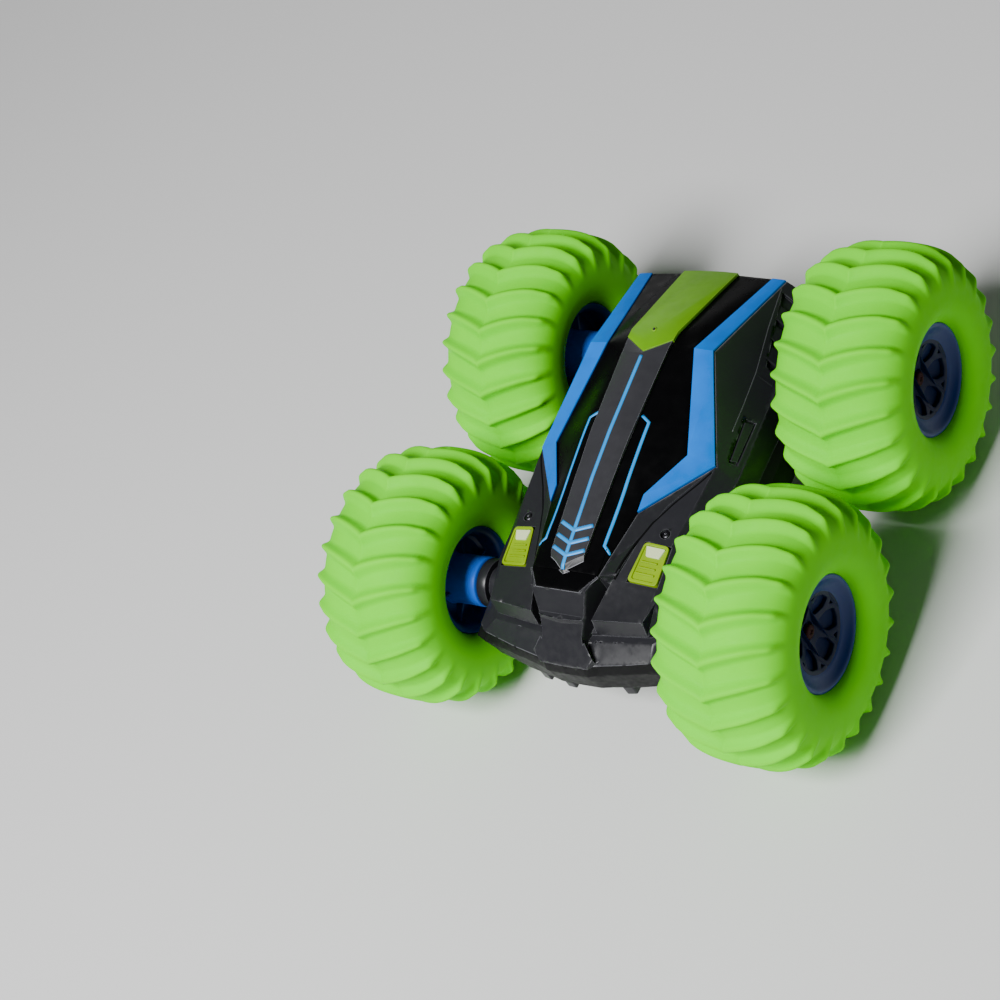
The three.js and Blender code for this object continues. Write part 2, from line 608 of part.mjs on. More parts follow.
// A plate on edge beside the motors: it carries the gears' pins and the axles' inner ends.
function gearboxPlate(motorSide) {
  const outline = [
    [-92, -9], [-70, -9], [-70, -36], [-60, -36], [-60, -9], [34, -9], [34, -36], [35.4, -36], [35.4, -9],
    [92, -9], [92, 9], [52, 12], [46, 36], [-46, 36], [-52, 12], [-92, 9],
  ];
  const holes = [-AXLE_Y, AXLE_Y].map((at) => circle(BORE, 12).map(([y, z]) => [y + at, z]));
  holes.push(circle(13, 16).map(([y, z]) => [y + motorSide * MOTOR_Y, z + MOTOR_Z]));
  let plate = prismX(outline, PLATE_X, PLATE_X + PLATE_THICK, holes);
  for (const y of [-AXLE_Y / 2, 0, AXLE_Y / 2]) {
    plate = plate.add(barX(AXLE_RADIUS, PLATE_X + 0.5, TRAIN_X + TRAIN_WIDTH + 2, y, 0, 12));
  }
  return plate;
}

function motor() {
  const can = barX(MOTOR_RADIUS, -MOTOR_LENGTH / 2, MOTOR_LENGTH / 2 - 1, 0, 0, 20);
  const flats = box(-20, 20, -20, 20, -9.4, 9.4);
  return can.intersect(flats).add(barX(4, MOTOR_LENGTH / 2 - 1.5, MOTOR_LENGTH / 2 + 0.5, 0, 0, 12));
}

function circuitBoard() {
  let board = box(-13.5, 13.5, -100, -50, 2, 3.6);
  board = board.add(box(-6, 6, -82, -70, 3.4, 6));
  board = board.add(box(-10, 10, -98, -92, 3.4, 10));
  return board.add(box(-10, -2, -64, -55, 3.4, 9));
}

function batteryPack() {
  const cell = (x) => barY(11.2, 41, 95, x, -24.8, 16);
  const bridge = box(-12, 12, 41, 95, -33, -16.6);
  return cell(-11.6).add(cell(11.6)).add(bridge);
}

function barY(radius, y0, y1, x, z, segments) {
  const geometry = new THREE.CylinderGeometry(radius, radius, y1 - y0, segments);
  return solidOf(geometry.translate(x, (y0 + y1) / 2, z));
}

// ---- Wheels --------------------------------------------------------------------------------

// The tyre is an open-backed hollow ring. Its lugs are ridges that trail back from the middle of
// the tread, so each ring of points is twisted by how far across the tread it lies.
function tyre(side) {
  const carcass = TYRE_RADIUS - LUG_HEIGHT;
  const across = TYRE_HALF_WIDTH;
  const rows = [
    [30.8, 8.9 - across, 0, 0], [43, -across, 0, 0], [55.5, 3.4 - across, 0, 1], [61.6, 9 - across, 0.95, 1],
    [carcass, 0, 1, 0],
    [61.6, across - 9, 0.95, 1], [55.5, across - 3.4, 0, 1], [43, across, 0, 0], [30.8, across - 8.9, 0, 0],
    [28.3, across - 13, 0, 0], [58.5, across - 10, 0, 0], [58.5, 10 - across, 0, 0],
    [28.3, 13 - across, 0, 0],
  ];
  const steps = LUGS * 2;
  const rings = [];
  for (let i = 0; i < steps; i += 1) {
    const ridge = i % 2 === 0 ? 1 : 0;
    rings.push(rows.map(([radius, x, lug, sweep]) => {
      const angle = -Math.PI / 2 + (2 * Math.PI * i) / steps - LUG_SWEEP * sweep;
      const r = radius + LUG_HEIGHT * lug * ridge;
      return [side * TYRE_CENTRE_X + x, r * Math.cos(angle), r * Math.sin(angle)];
    }));
  }
  return closedRing(rings);
}

// A body that closes on itself all round, such as a tyre.
function closedRing(rings) {
  const count = rings[0].length;
  const index = [];
  for (let r = 0; r < rings.length; r += 1) {
    const next = ((r + 1) % rings.length) * count;
    for (let i = 0; i < count; i += 1) {
      const j = (i + 1) % count;
      index.push(r * count + i, r * count + j, next + j, r * count + i, next + j, next + i);
    }
  }
  const geometry = new THREE.BufferGeometry();
  geometry.setAttribute('position', new THREE.Float32BufferAttribute(rings.flat(2), 3));
  geometry.setIndex(signedVolume(geometry.attributes.position, index) < 0 ? flipped(index) : index);
  return solidOf(geometry);
}

function rim(side) {
  const profile = [
    [BORE, HUB_END_X], [HUB_RADIUS, HUB_END_X], [HUB_RADIUS, 95], [26.4, 84], [RIM_RADIUS, RIM_INNER_X],
    [27.9, 86], [27.9, 137], [RIM_RADIUS, 138.6], [RIM_RADIUS, RIM_OUTER_X], [24.6, 139.2],
    [22.6, 131.5], [9, 130], [8.4, 134], [BORE, 134],
  ];
  const cavity = [[16, 98], [25, 98], [25, 127.5], [8, 127.5]];
  let wheel = turned(profile, 18).subtract(turned(cavity, 18));
  for (let i = 0; i < 6; i += 1) {
    const angle = (Math.PI * 2 * i) / 6;
    const window = [[11.5, -1.6], [21.6, -8], [21.6, 8], [11.5, 1.6]].map(([u, v]) => [
      u * Math.cos(angle) - v * Math.sin(angle),
      u * Math.sin(angle) + v * Math.cos(angle),
    ]);
    wheel = wheel.subtract(prismX(window, 126, 136));
  }
  return mirrorTo(wheel, side);
}

function axle(side) {
  return mirrorTo(barX(AXLE_RADIUS, PLATE_X - 1, 131, 0, 0, 12), side);
}

function wheelScrew(side) {
  return mirrorTo(barX(6, 134.4, 137, 0, 0, 12).add(barX(1.6, 131.5, 134.6, 0, 0, 8)), side);
}

function collar(side) {
  return mirrorTo(turned([
    [BORE, 58], [NECK_RADIUS, 58], [NECK_RADIUS, 65.4], [COLLAR_RADIUS, 65.4], [COLLAR_RADIUS, 77],
    [COLLAR_RADIUS - 1.3, 78.2], [BORE, 78.2],
  ], 16), side);
}

// ---- The car -------------------------------------------------------------------------------

const car = new THREE.Group();
const lifted = new THREE.Group();
lifted.position.z = TYRE_RADIUS;
car.add(lifted);

function place(name, solid, look, parent = lifted) {
  const mesh = new THREE.Mesh(geometryOf(solid), new THREE.MeshStandardMaterial(look));
  mesh.name = name;
  parent.add(mesh);
  return mesh;
}

place('upper_shell', upperShell(), CHARCOAL);
place('lower_shell', lowerShell(), CHARCOAL);
place('hood_panel', hoodPanel(), GLOSS_BLACK);
place('centre_ridge', centreRidge(), CHARCOAL);
place('spine_plate', spinePlate(), LAMP_GREEN);
place('circuit_board', circuitBoard(), BOARD_GREEN);
place('battery_pack', batteryPack(), WRAP_BLUE);
place('battery_door', batteryDoor(), CHARCOAL);
place('battery_door_screw', bellyScrew(0, DOOR_FRONT_Y + 7), STEEL);
place('power_switch_knob', switchKnob(), BLACK_PLASTIC);
place('power_switch_body', switchBody(), BLACK_PLASTIC);

for (const [sideName, side] of [['left', 1], ['right', -1]]) {
  place(`stripe_${sideName}`, stripe(side), SKY_BLUE);
  place(`lamp_cover_${sideName}`, lampCover(side), LAMP_GREEN);
  place(`lamp_lens_${sideName}`, lampLens(side), LENS);
  place(`lamp_led_${sideName}`, lampLed(side), LENS);
  place(`lamp_screw_${sideName}`, lampScrew(side), STEEL);
  place(`belly_screw_${sideName}`, bellyScrew(side * BELLY_SCREW.x, BELLY_SCREW.y), STEEL);

  // The left motor is ahead of the middle of the car and the right motor is behind it.
  const motorSide = -side;
  place(`gearbox_plate_${sideName}`, mirrorTo(gearboxPlate(motorSide), side), BLACK_PLASTIC);
  place(`centre_gear_${sideName}`, mirrorTo(centreGear(motorSide), side), NYLON);
  const motorGroup = new THREE.Group();
  motorGroup.position.set(0, motorSide * MOTOR_Y, MOTOR_Z);
  lifted.add(motorGroup);
  place(`motor_${sideName}`, mirrorTo(motor(), side), STEEL, motorGroup);
  place(`pinion_${sideName}`, mirrorTo(pinion(motorSide), side), NYLON, motorGroup);

  for (const [endName, end] of [['front', -1], ['rear', 1]]) {
    const idlerGroup = new THREE.Group();
    idlerGroup.position.y = (end * AXLE_Y) / 2;
    lifted.add(idlerGroup);
    const idler = gear(IDLER_TEETH, IDLER_GAP_PHASE, BORE, TRAIN_X, TRAIN_WIDTH);
    place(`idler_gear_${endName}_${sideName}`, mirrorTo(idler, side), NYLON, idlerGroup);

    const wheelGroup = new THREE.Group();
    wheelGroup.position.y = end * AXLE_Y;
    lifted.add(wheelGroup);
    const corner = `${endName}_${sideName}`;
    place(`tyre_${corner}`, tyre(side), LIME, wheelGroup);
    place(`rim_${corner}`, rim(side), NAVY, wheelGroup);
    place(`axle_${corner}`, axle(side), STEEL, wheelGroup);
    place(`wheel_screw_${corner}`, wheelScrew(side), STEEL, wheelGroup);
    const driven = gear(AXLE_TEETH, 0, BORE, TRAIN_X, TRAIN_WIDTH);
    place(`axle_gear_${corner}`, mirrorTo(driven, side), NYLON, wheelGroup);
    place(`axle_collar_${corner}`, collar(side), CHARCOAL, wheelGroup);
  }
}

export default car;
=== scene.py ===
"""An RC stunt car: a low wedge body between four large lime balloon tyres.

Lengths in this script are in millimetres, in the frame's own axes: +Z up, the nose towards -Y and
the car's own left towards +X. Heights are counted from the axles, and MM turns them into metres.
"""

import math

import bmesh
import bpy
from mathutils import Matrix, Vector
from mathutils.bvhtree import BVHTree


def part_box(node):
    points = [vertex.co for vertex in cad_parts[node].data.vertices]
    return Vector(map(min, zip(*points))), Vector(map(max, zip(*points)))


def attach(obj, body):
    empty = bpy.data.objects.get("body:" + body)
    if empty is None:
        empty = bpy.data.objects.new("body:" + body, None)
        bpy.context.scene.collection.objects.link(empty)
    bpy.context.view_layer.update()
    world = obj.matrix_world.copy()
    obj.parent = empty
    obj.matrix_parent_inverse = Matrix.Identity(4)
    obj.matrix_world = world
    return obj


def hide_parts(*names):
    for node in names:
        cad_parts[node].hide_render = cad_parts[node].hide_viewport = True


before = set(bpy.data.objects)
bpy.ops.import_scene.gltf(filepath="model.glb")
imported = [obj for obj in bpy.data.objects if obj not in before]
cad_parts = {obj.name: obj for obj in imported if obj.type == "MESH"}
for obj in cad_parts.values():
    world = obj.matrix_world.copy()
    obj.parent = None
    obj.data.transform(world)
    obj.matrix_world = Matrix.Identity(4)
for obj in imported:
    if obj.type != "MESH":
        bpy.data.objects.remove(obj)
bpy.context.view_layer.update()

MM = 0.001
SIDES = {"left": 1, "right": -1}
CORNERS = [f"{end}_{side}" for side in SIDES for end in ("front", "rear")]


def box_mm(node):
    """A CAD node's low and high corners in millimetres."""
    low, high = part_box(node)
    return low / MM, high / MM


def centre_mm(node):
    """The middle of a CAD node's box in millimetres."""
    low, high = box_mm(node)
    return (low + high) / 2


AXLE_Z = centre_mm("axle_front_left").z
TYRE_LOW, TYRE_HIGH = box_mm("tyre_front_left")
TYRE_RADIUS = (TYRE_HIGH.z - TYRE_LOW.z) / 2
TYRE_HALF_WIDTH = (TYRE_HIGH.x - TYRE_LOW.x) / 2


# ---- Materials ---------------------------------------------------------------------------------


def linear(red, green, blue):
    """A screen colour of 0 to 255 as the linear colour that shaders take."""
    def channel(value):
        value /= 255
        return value / 12.92 if value <= 0.04045 else ((value + 0.055) / 1.055) ** 2.4

    return (channel(red), channel(green), channel(blue), 1)


class Look:
    """A node material under construction: a Principled shader and the nodes that feed it."""

    def __init__(self, name, colour, roughness, **sockets):
        self.material = bpy.data.materials.new(name)
        self.material.use_nodes = True
        self.tree = self.material.node_tree
        self.shader = self.tree.nodes["Principled BSDF"]
        self.colour = colour
        self.roughness = roughness
        self.shader.inputs["Base Color"].default_value = colour
        self.shader.inputs["Roughness"].default_value = roughness
        for socket, value in sockets.items():
            self.shader.inputs[socket.replace("_", " ")].default_value = value
        self.place = self.node("ShaderNodeTexCoord").outputs["Object"]
        self.normal = None

    def node(self, kind, **settings):
        """Adds a shader node and sets its properties."""
        made = self.tree.nodes.new(kind)
        for key, value in settings.items():
            setattr(made, key, value)
        return made

    def link(self, source, target):
        self.tree.links.new(source, target)

    def noise(self, size, detail=2.0, stretch=(1, 1, 1)):
        """Noise with features of about `size` millimetres."""
        mapping = self.node("ShaderNodeMapping")
        mapping.inputs["Scale"].default_value = stretch
        self.link(self.place, mapping.inputs["Vector"])
        noise = self.node("ShaderNodeTexNoise")
        noise.inputs["Scale"].default_value = 1 / (size * MM)
        noise.inputs["Detail"].default_value = detail
        self.link(mapping.outputs["Vector"], noise.inputs["Vector"])
        return noise.outputs["Fac"]

    def spread(self, value, low, high, to_low=0.0, to_high=1.0):
        """Maps the range low to high onto to_low to to_high, clamped."""
        made = self.node("ShaderNodeMapRange")
        made.inputs["From Min"].default_value = low
        made.inputs["From Max"].default_value = high
        made.inputs["To Min"].default_value = to_low
        made.inputs["To Max"].default_value = to_high
        self.link(value, made.inputs["Value"])
        return made.outputs["Result"]

    def tint(self, factor, colour):
        """Mixes another colour into the base colour where factor is high."""
        mix = self.node("ShaderNodeMix", data_type="RGBA")
        socket = self.shader.inputs["Base Color"]
        if socket.is_linked:
            self.link(socket.links[0].from_socket, mix.inputs["A"])
        else:
            mix.inputs["A"].default_value = self.colour
        mix.inputs["B"].default_value = colour
        self.link(factor, mix.inputs["Factor"])
        self.link(mix.outputs["Result"], socket)

    def vary_roughness(self, value, low, high):
        self.link(self.spread(value, 0.3, 0.7, low, high), self.shader.inputs["Roughness"])

    def bump(self, value, depth, strength=1.0):
        """Adds relief of `depth` millimetres."""
        bump = self.node("ShaderNodeBump")
        bump.inputs["Distance"].default_value = depth * MM
        bump.inputs["Strength"].default_value = strength
        self.link(value, bump.inputs["Height"])
        if self.normal is not None:
            self.link(self.normal, bump.inputs["Normal"])
        self.normal = bump.outputs["Normal"]
        self.link(self.normal, self.shader.inputs["Normal"])

    def edge(self, low=0.515, high=0.56):
        """Near 1 on convex edges, for wear and highlights."""
        geometry = self.node("ShaderNodeNewGeometry")
        return self.spread(geometry.outputs["Pointiness"], low, high)

    def rim_of_edges(self, reach=0.55, low=0.03, high=0.22):
        """Near 1 within `reach` millimetres of an edge, however finely the piece is cut."""
        soft = self.node("ShaderNodeBevel")
        soft.samples = 4
        soft.inputs["Radius"].default_value = reach * MM
        geometry = self.node("ShaderNodeNewGeometry")
        match = self.node("ShaderNodeVectorMath")
        match.operation = "DOT_PRODUCT"
        self.link(soft.outputs["Normal"], match.inputs[0])
        self.link(geometry.outputs["Normal"], match.inputs[1])
        return self.spread(match.outputs["Value"], 1 - high, 1 - low, 1.0, 0.0)

    def dip(self, low=0.40, high=0.49):
        """Near 1 in concave corners, where dust and shade gather."""
        geometry = self.node("ShaderNodeNewGeometry")
        return self.spread(geometry.outputs["Pointiness"], low, high, 1.0, 0.0)


def moulded(name, colour, roughness, grain=0.35, depth=0.012, edge=None, **sockets):
    """Injection-moulded plastic: fine grain, slow waviness and faint scuffs.

    An edge colour gives paler edges: mostly a painted highlight, with a little wear in it.
    """
    look = Look(name, colour, roughness, **sockets)
    grain_noise = look.noise(grain, 3)
    slow = look.noise(14, 2)
    look.vary_roughness(look.noise(3.2, 4), roughness * 0.85, roughness * 1.2)
    shade = [channel * 0.84 for channel in colour[:3]] + [1]
    look.tint(look.spread(slow, 0.35, 0.75), shade)
    # Paler edges: mostly a painted highlight, with a little wear in it.
    if edge:
        look.tint(look.spread(look.rim_of_edges(), 0, 1, 0, 0.75), edge)
    look.bump(slow, 0.05, 0.35)
    look.bump(grain_noise, depth)
    return look.material


def tyre_rubber():
    """Matt lime rubber: painted shade in the grooves, a painted highlight on the lugs' crests."""
    colour = linear(104, 222, 0)
    look = Look("tyre_rubber", colour, 0.6)
    look.shader.inputs["Subsurface Weight"].default_value = 0.12
    look.shader.inputs["Subsurface Radius"].default_value = (0.6, 1.0, 0.2)
    look.shader.inputs["Subsurface Scale"].default_value = 0.003
    look.shader.inputs["Specular IOR Level"].default_value = 0.07
    look.tint(look.spread(look.noise(22, 3), 0.35, 0.75, 0, 0.35), linear(90, 206, 0))
    # Painted shade in the grooves.
    look.tint(look.spread(look.dip(), 0, 1, 0, 0.35), linear(58, 162, 0))
    # Painted highlight on the lugs' crests.
    look.tint(look.spread(look.edge(), 0, 1, 0, 0.3), linear(118, 232, 6))
    look.vary_roughness(look.noise(5, 4), 0.5, 0.68)
    look.bump(look.noise(16, 2), 0.12, 0.3)
    look.bump(look.noise(0.55, 3), 0.02)
    return look.material


def rim_plastic():
    """Navy plastic with a soft sheen and a painted highlight along its edges."""
    look = Look("rim_navy", linear(12, 44, 104), 0.4, Specular_IOR_Level=0.2)
    look.tint(look.spread(look.noise(9, 3), 0.35, 0.7, 0, 0.6), linear(16, 45, 98))
    # Painted highlight along the edges.
    look.tint(look.spread(look.edge(), 0, 1, 0, 0.6), linear(40, 84, 150))
    look.vary_roughness(look.noise(2.4, 4), 0.28, 0.42)
    look.bump(look.noise(0.4, 3), 0.01)
    return look.material


def shell_plastic():
    """Charcoal plastic, mottled, with pale edges: a painted highlight with a little wear."""
    look = Look("shell_charcoal", linear(36, 36, 40), 0.34, Specular_IOR_Level=0.28)
    look.tint(look.spread(look.noise(30, 3), 0.35, 0.7, 0, 0.7), linear(30, 30, 34))
    # Pale edges: a painted highlight, with a little wear in it.
    look.tint(look.spread(look.rim_of_edges(0.6), 0, 1, 0, 0.7), linear(116, 116, 122))
    look.vary_roughness(look.noise(4, 4), 0.28, 0.42)
    look.bump(look.noise(18, 2), 0.08, 0.35)
    look.bump(look.noise(0.32, 3), 0.012)
    return look.material


def gloss_black():
    """Polished black with faint dust."""
    look = Look("hood_gloss_black", linear(4, 4, 5), 0.3, Specular_IOR_Level=0.12)
    look.vary_roughness(look.noise(7, 5), 0.24, 0.36)
    dust = look.spread(look.noise(0.5, 4), 0.68, 0.8, 0, 0.1)
    look.tint(dust, linear(70, 70, 76))
    look.bump(look.noise(26, 2), 0.05, 0.2)
    return look.material


def brushed_metal(name, colour, roughness, stretch=(1, 1, 14)):
    """Metal with fine lines along one axis."""
    look = Look(name, colour, roughness, Metallic=1.0)
    lines = look.noise(2.0, 4, stretch)
    look.vary_roughness(lines, roughness * 0.7, roughness * 1.35)
    look.tint(look.spread(look.noise(3, 3), 0.4, 0.7), [c * 0.72 for c in colour[:3]] + [1])
    look.bump(lines, 0.006)
    return look.material


def circuit_green():
    """Solder mask with copper tracks under it and pale pads."""
    look = Look("circuit_board", linear(24, 92, 48), 0.32)
    tracks = look.node("ShaderNodeTexBrick")
    tracks.inputs["Scale"].default_value = 1 / (9 * MM)
    tracks.inputs["Mortar Size"].default_value = 0.03
    tracks.inputs["Color1"].default_value = (0, 0, 0, 1)
    tracks.inputs["Color2"].default_value = (0, 0, 0, 1)
    tracks.inputs["Mortar"].default_value = (1, 1, 1, 1)
    look.link(look.place, tracks.inputs["Vector"])
    look.tint(tracks.outputs["Color"], linear(58, 138, 70))
    pads = look.node("ShaderNodeTexVoronoi")
    pads.inputs["Scale"].default_value = 1 / (4 * MM)
    look.link(look.place, pads.inputs["Vector"])
    look.tint(look.spread(pads.outputs["Distance"], 0.1, 0.14, 1, 0), linear(190, 186, 160))
    look.bump(tracks.outputs["Fac"], 0.04)
    return look.material


def lens_plastic():
    """The pale window of a lamp, with a faint painted glow for the light it reflects."""
    look = Look("lamp_lens", linear(226, 238, 186), 0.18, IOR=1.49)
    look.shader.inputs["Transmission Weight"].default_value = 0.25
    # Painted glow: a faint emission stands in for light reflected off the window.
    look.shader.inputs["Emission Color"].default_value = linear(226, 240, 186)
    look.shader.inputs["Emission Strength"].default_value = 0.12
    look.vary_roughness(look.noise(1.4, 3), 0.14, 0.28)
    look.bump(look.noise(0.9, 3), 0.03)
    return look.material


# The edge colours below paint highlights along each piece's edges, with a little wear in them.
LOOKS = {
    "tyre": tyre_rubber(),
    "rim": rim_plastic(),
    "web": moulded("rim_web_navy", linear(7, 24, 56), 0.4, edge=linear(16, 46, 94),
                   Specular_IOR_Level=0.15),
    # The pocket floor's navy is paler than the web's: painted light against the shade in the
    # pockets.
    "pocket": moulded("rim_pocket_navy", linear(8, 31, 72), 0.5, Specular_IOR_Level=0.1),
    "tub": moulded("tub_charcoal", linear(15, 15, 16), 0.5, edge=linear(60, 60, 64),
                   Specular_IOR_Level=0.15),
    "hub": moulded("hub_light_blue", linear(26, 104, 226), 0.42, edge=linear(56, 140, 238),
                   Specular_IOR_Level=0.2),
    "shell": shell_plastic(),
    "ridge": moulded("ridge_charcoal", linear(50, 50, 54), 0.38, edge=linear(158, 158, 166),
                     Specular_IOR_Level=0.28),
    "hood": gloss_black(),
    "stripe": moulded("stripe_sky_blue", linear(0, 111, 214), 0.46, edge=linear(6, 134, 230),
                      Specular_IOR_Level=0.06),
    "line": moulded("line_cyan", linear(20, 150, 232), 0.38, grain=0.2, depth=0.006),
    "lamp": moulded("lamp_lime", linear(128, 162, 0), 0.36, edge=linear(160, 196, 10),
                    Specular_IOR_Level=0.3),
    "plate": moulded("spine_lime", linear(98, 157, 3), 0.34, edge=linear(176, 212, 70), depth=0.004,
                     Specular_IOR_Level=0.3),
    "lens": lens_plastic(),
    "steel": brushed_metal("steel", linear(184, 186, 190), 0.3),
    "dark_steel": brushed_metal("blackened_steel", linear(74, 74, 78), 0.38),
    "rust_steel": brushed_metal("bronzed_steel", linear(58, 36, 34), 0.62),
    "black": moulded("black_plastic", linear(24, 24, 26), 0.48, edge=linear(52, 52, 56)),
    "seam": moulded("seam_shadow", linear(3, 3, 4), 0.7, Specular_IOR_Level=0.1),
    "nylon": moulded("gear_nylon", linear(226, 222, 208), 0.46, edge=linear(240, 238, 228)),
    "board": circuit_green(),
    "wrap": moulded("battery_wrap", linear(30, 78, 168), 0.26, grain=1.2, depth=0.03),
}

# ---- Making pieces -----------------------------------------------------------------------------


def piece(name, mesh, look, body, replaces=(), crisp=None):
    """Turns a bmesh, in millimetres from the axles' height, into a piece that rides on a body.

    Edges that fold by more than `crisp` degrees are shaded as sharp edges.
    """
    data = bpy.data.meshes.new(name)
    mesh.normal_update()
    if crisp:
        for edge in mesh.edges:
            edge.smooth = edge.calc_face_angle(0) < math.radians(crisp)
    mesh.to_mesh(data)
    mesh.free()
    data.transform(Matrix.Translation((0, 0, AXLE_Z * MM)) @ Matrix.Scale(MM, 4))
    data.materials.append(LOOKS[look])
    data.shade_smooth()
    made = bpy.data.objects.new(name, data)
    bpy.context.scene.collection.objects.link(made)
    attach(made, body)
    if replaces:
        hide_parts(*replaces)
    return made


def bevel(made, width, segments=2, angle=26):
    """Rounds the piece's edges by `width` millimetres and keeps its flat faces flat.

    With an angle of 0 it rounds the edges that fine_copy marked.
    """
    modifier = made.modifiers.new("edges", "BEVEL")
    modifier.width = width * MM
    modifier.segments = segments
    modifier.limit_method = "ANGLE" if angle else "WEIGHT"
    modifier.angle_limit = math.radians(angle)
    modifier.harden_normals = True
    modifier.use_clamp_overlap = True
    modifier.miter_outer = "MITER_ARC"
    return made


def copy_of(node):
    """The shape of a CAD node as a bmesh in millimetres, with its flat faces made whole."""
    mesh = bmesh.new()
    mesh.from_mesh(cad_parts[node].data)
    mesh.transform(Matrix.Translation((0, 0, -AXLE_Z)) @ Matrix.Scale(1 / MM, 4))
    bmesh.ops.remove_doubles(mesh, verts=mesh.verts, dist=0.02)
    bmesh.ops.dissolve_limit(
        mesh, angle_limit=math.radians(1.2), verts=mesh.verts, edges=mesh.edges
    )
    return mesh


def fine_copy(node, size=3.2, crisp=33, rounds=10):
    """Like copy_of, but cut into small triangles and relaxed, so that shallow folds turn soft.

    Edges that fold by more than `crisp` degrees stay where they are. The outward ones are marked
    for bevel, and the inward ones are shaded sharp.
    """
    mesh = copy_of(node)
    bmesh.ops.triangulate(mesh, faces=mesh.faces)
    for _ in range(9):
        long_edges = [edge for edge in mesh.edges if edge.calc_length() > size]
        if not long_edges:
            break
        bmesh.ops.subdivide_edges(mesh, edges=long_edges, cuts=1)
        bmesh.ops.triangulate(mesh, faces=[face for face in mesh.faces if len(face.verts) > 3])
    mesh.normal_update()
    held = set()
    weight = mesh.edges.layers.float.new("bevel_weight_edge")
    for edge in mesh.edges:
        if edge.calc_face_angle(math.pi) > math.radians(crisp):
            held.update(edge.verts)
            edge[weight] = 1.0 if edge.is_convex else 0.0
            edge.smooth = edge.is_convex
    free = [vert for vert in mesh.verts if vert not in held]
    for _ in range(rounds):
        bmesh.ops.smooth_vert(
            mesh, verts=free, factor=0.5, use_axis_x=True, use_axis_y=True, use_axis_z=True
        )
    return mesh


def tree_of(node):
    """A search tree over a CAD node, in millimetres."""
    mesh = bmesh.new()
    mesh.from_mesh(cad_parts[node].data)
    mesh.transform(Matrix.Translation((0, 0, -AXLE_Z)) @ Matrix.Scale(1 / MM, 4))
    tree = BVHTree.FromBMesh(mesh)
    mesh.free()
    return tree


def height_on(tree, x, y, otherwise=0.0):
    """The height of the surface straight below a point high above the car."""
    found = tree.ray_cast(Vector((x, y, 90)), Vector((0, 0, -1)))[0]
    return found.z if found else otherwise


def grid_faces(mesh, rows, closed_round=False, closed_along=False):
    """Joins rows of points with quads."""
    count = len(rows[0])
    made = [[mesh.verts.new(point) for point in row] for row in rows]
    last_row = len(rows) if closed_along else len(rows) - 1
    last_column = count if closed_round else count - 1
    for i in range(last_row):
        for j in range(last_column):
            a, b = made[i][j], made[i][(j + 1) % count]
            c, d = made[(i + 1) % len(rows)][(j + 1) % count], made[(i + 1) % len(rows)][j]
            mesh.faces.new((a, b, c, d))
    return made


def turned(profile, x_side=1, segments=72, centre=(0, 0, 0), closed=True):
    """A profile of (radius, x) points turned about an axis along X."""
    mesh = bmesh.new()
    rows = []
    for i in range(segments):
        angle = 2 * math.pi * i / segments
        rows.append([
            Vector((x_side * x, r * math.cos(angle), r * math.sin(angle))) + Vector(centre)
            for r, x in profile
        ])
    grid_faces(mesh, rows, closed_round=closed, closed_along=True)
    bmesh.ops.remove_doubles(mesh, verts=mesh.verts, dist=0.001)
    bmesh.ops.recalc_face_normals(mesh, faces=mesh.faces)
    return mesh


def prism(outline, normal_axis, low, high):
    """An outline of 3-D points pushed along an axis ("x", "y" or "z") from low to high."""
    mesh = bmesh.new()
    index = "xyz".index(normal_axis)
    ends = []
    for level in (low, high):
        ring = []
        for u, v in outline:
            point = [u, v]
            point.insert(index, level)
            ring.append(mesh.verts.new(point))
        ends.append(ring)
    mesh.faces.new(ends[0])
    mesh.faces.new(ends[1])
    count = len(outline)
    for i in range(count):
        j = (i + 1) % count
        mesh.faces.new((ends[0][i], ends[0][j], ends[1][j], ends[1][i]))
    bmesh.ops.recalc_face_normals(mesh, faces=mesh.faces)
    return mesh


def rounded(corners, radius, steps=5):
    """A plan outline with its corners rounded."""
    out = []
    count = len(corners)
    for i, corner in enumerate(corners):
        here = Vector(corner)
        before = (Vector(corners[i - 1]) - here)
        after = (Vector(corners[(i + 1) % count]) - here)
        reach = min(radius, before.length * 0.45, after.length * 0.45)
        start = here + before.normalized() * reach
        end = here + after.normalized() * reach
        for step in range(steps + 1):
            t = step / steps
            out.append(start * (1 - t) ** 2 + here * 2 * t * (1 - t) + end * t ** 2)
    return [tuple(point) for point in out]


def join(into, other):
    """Adds another bmesh's faces to the first."""
    scratch = bpy.data.meshes.new("scratch")
    other.to_mesh(scratch)
    other.free()
    into.from_mesh(scratch)
    bpy.data.meshes.remove(scratch)
    return into


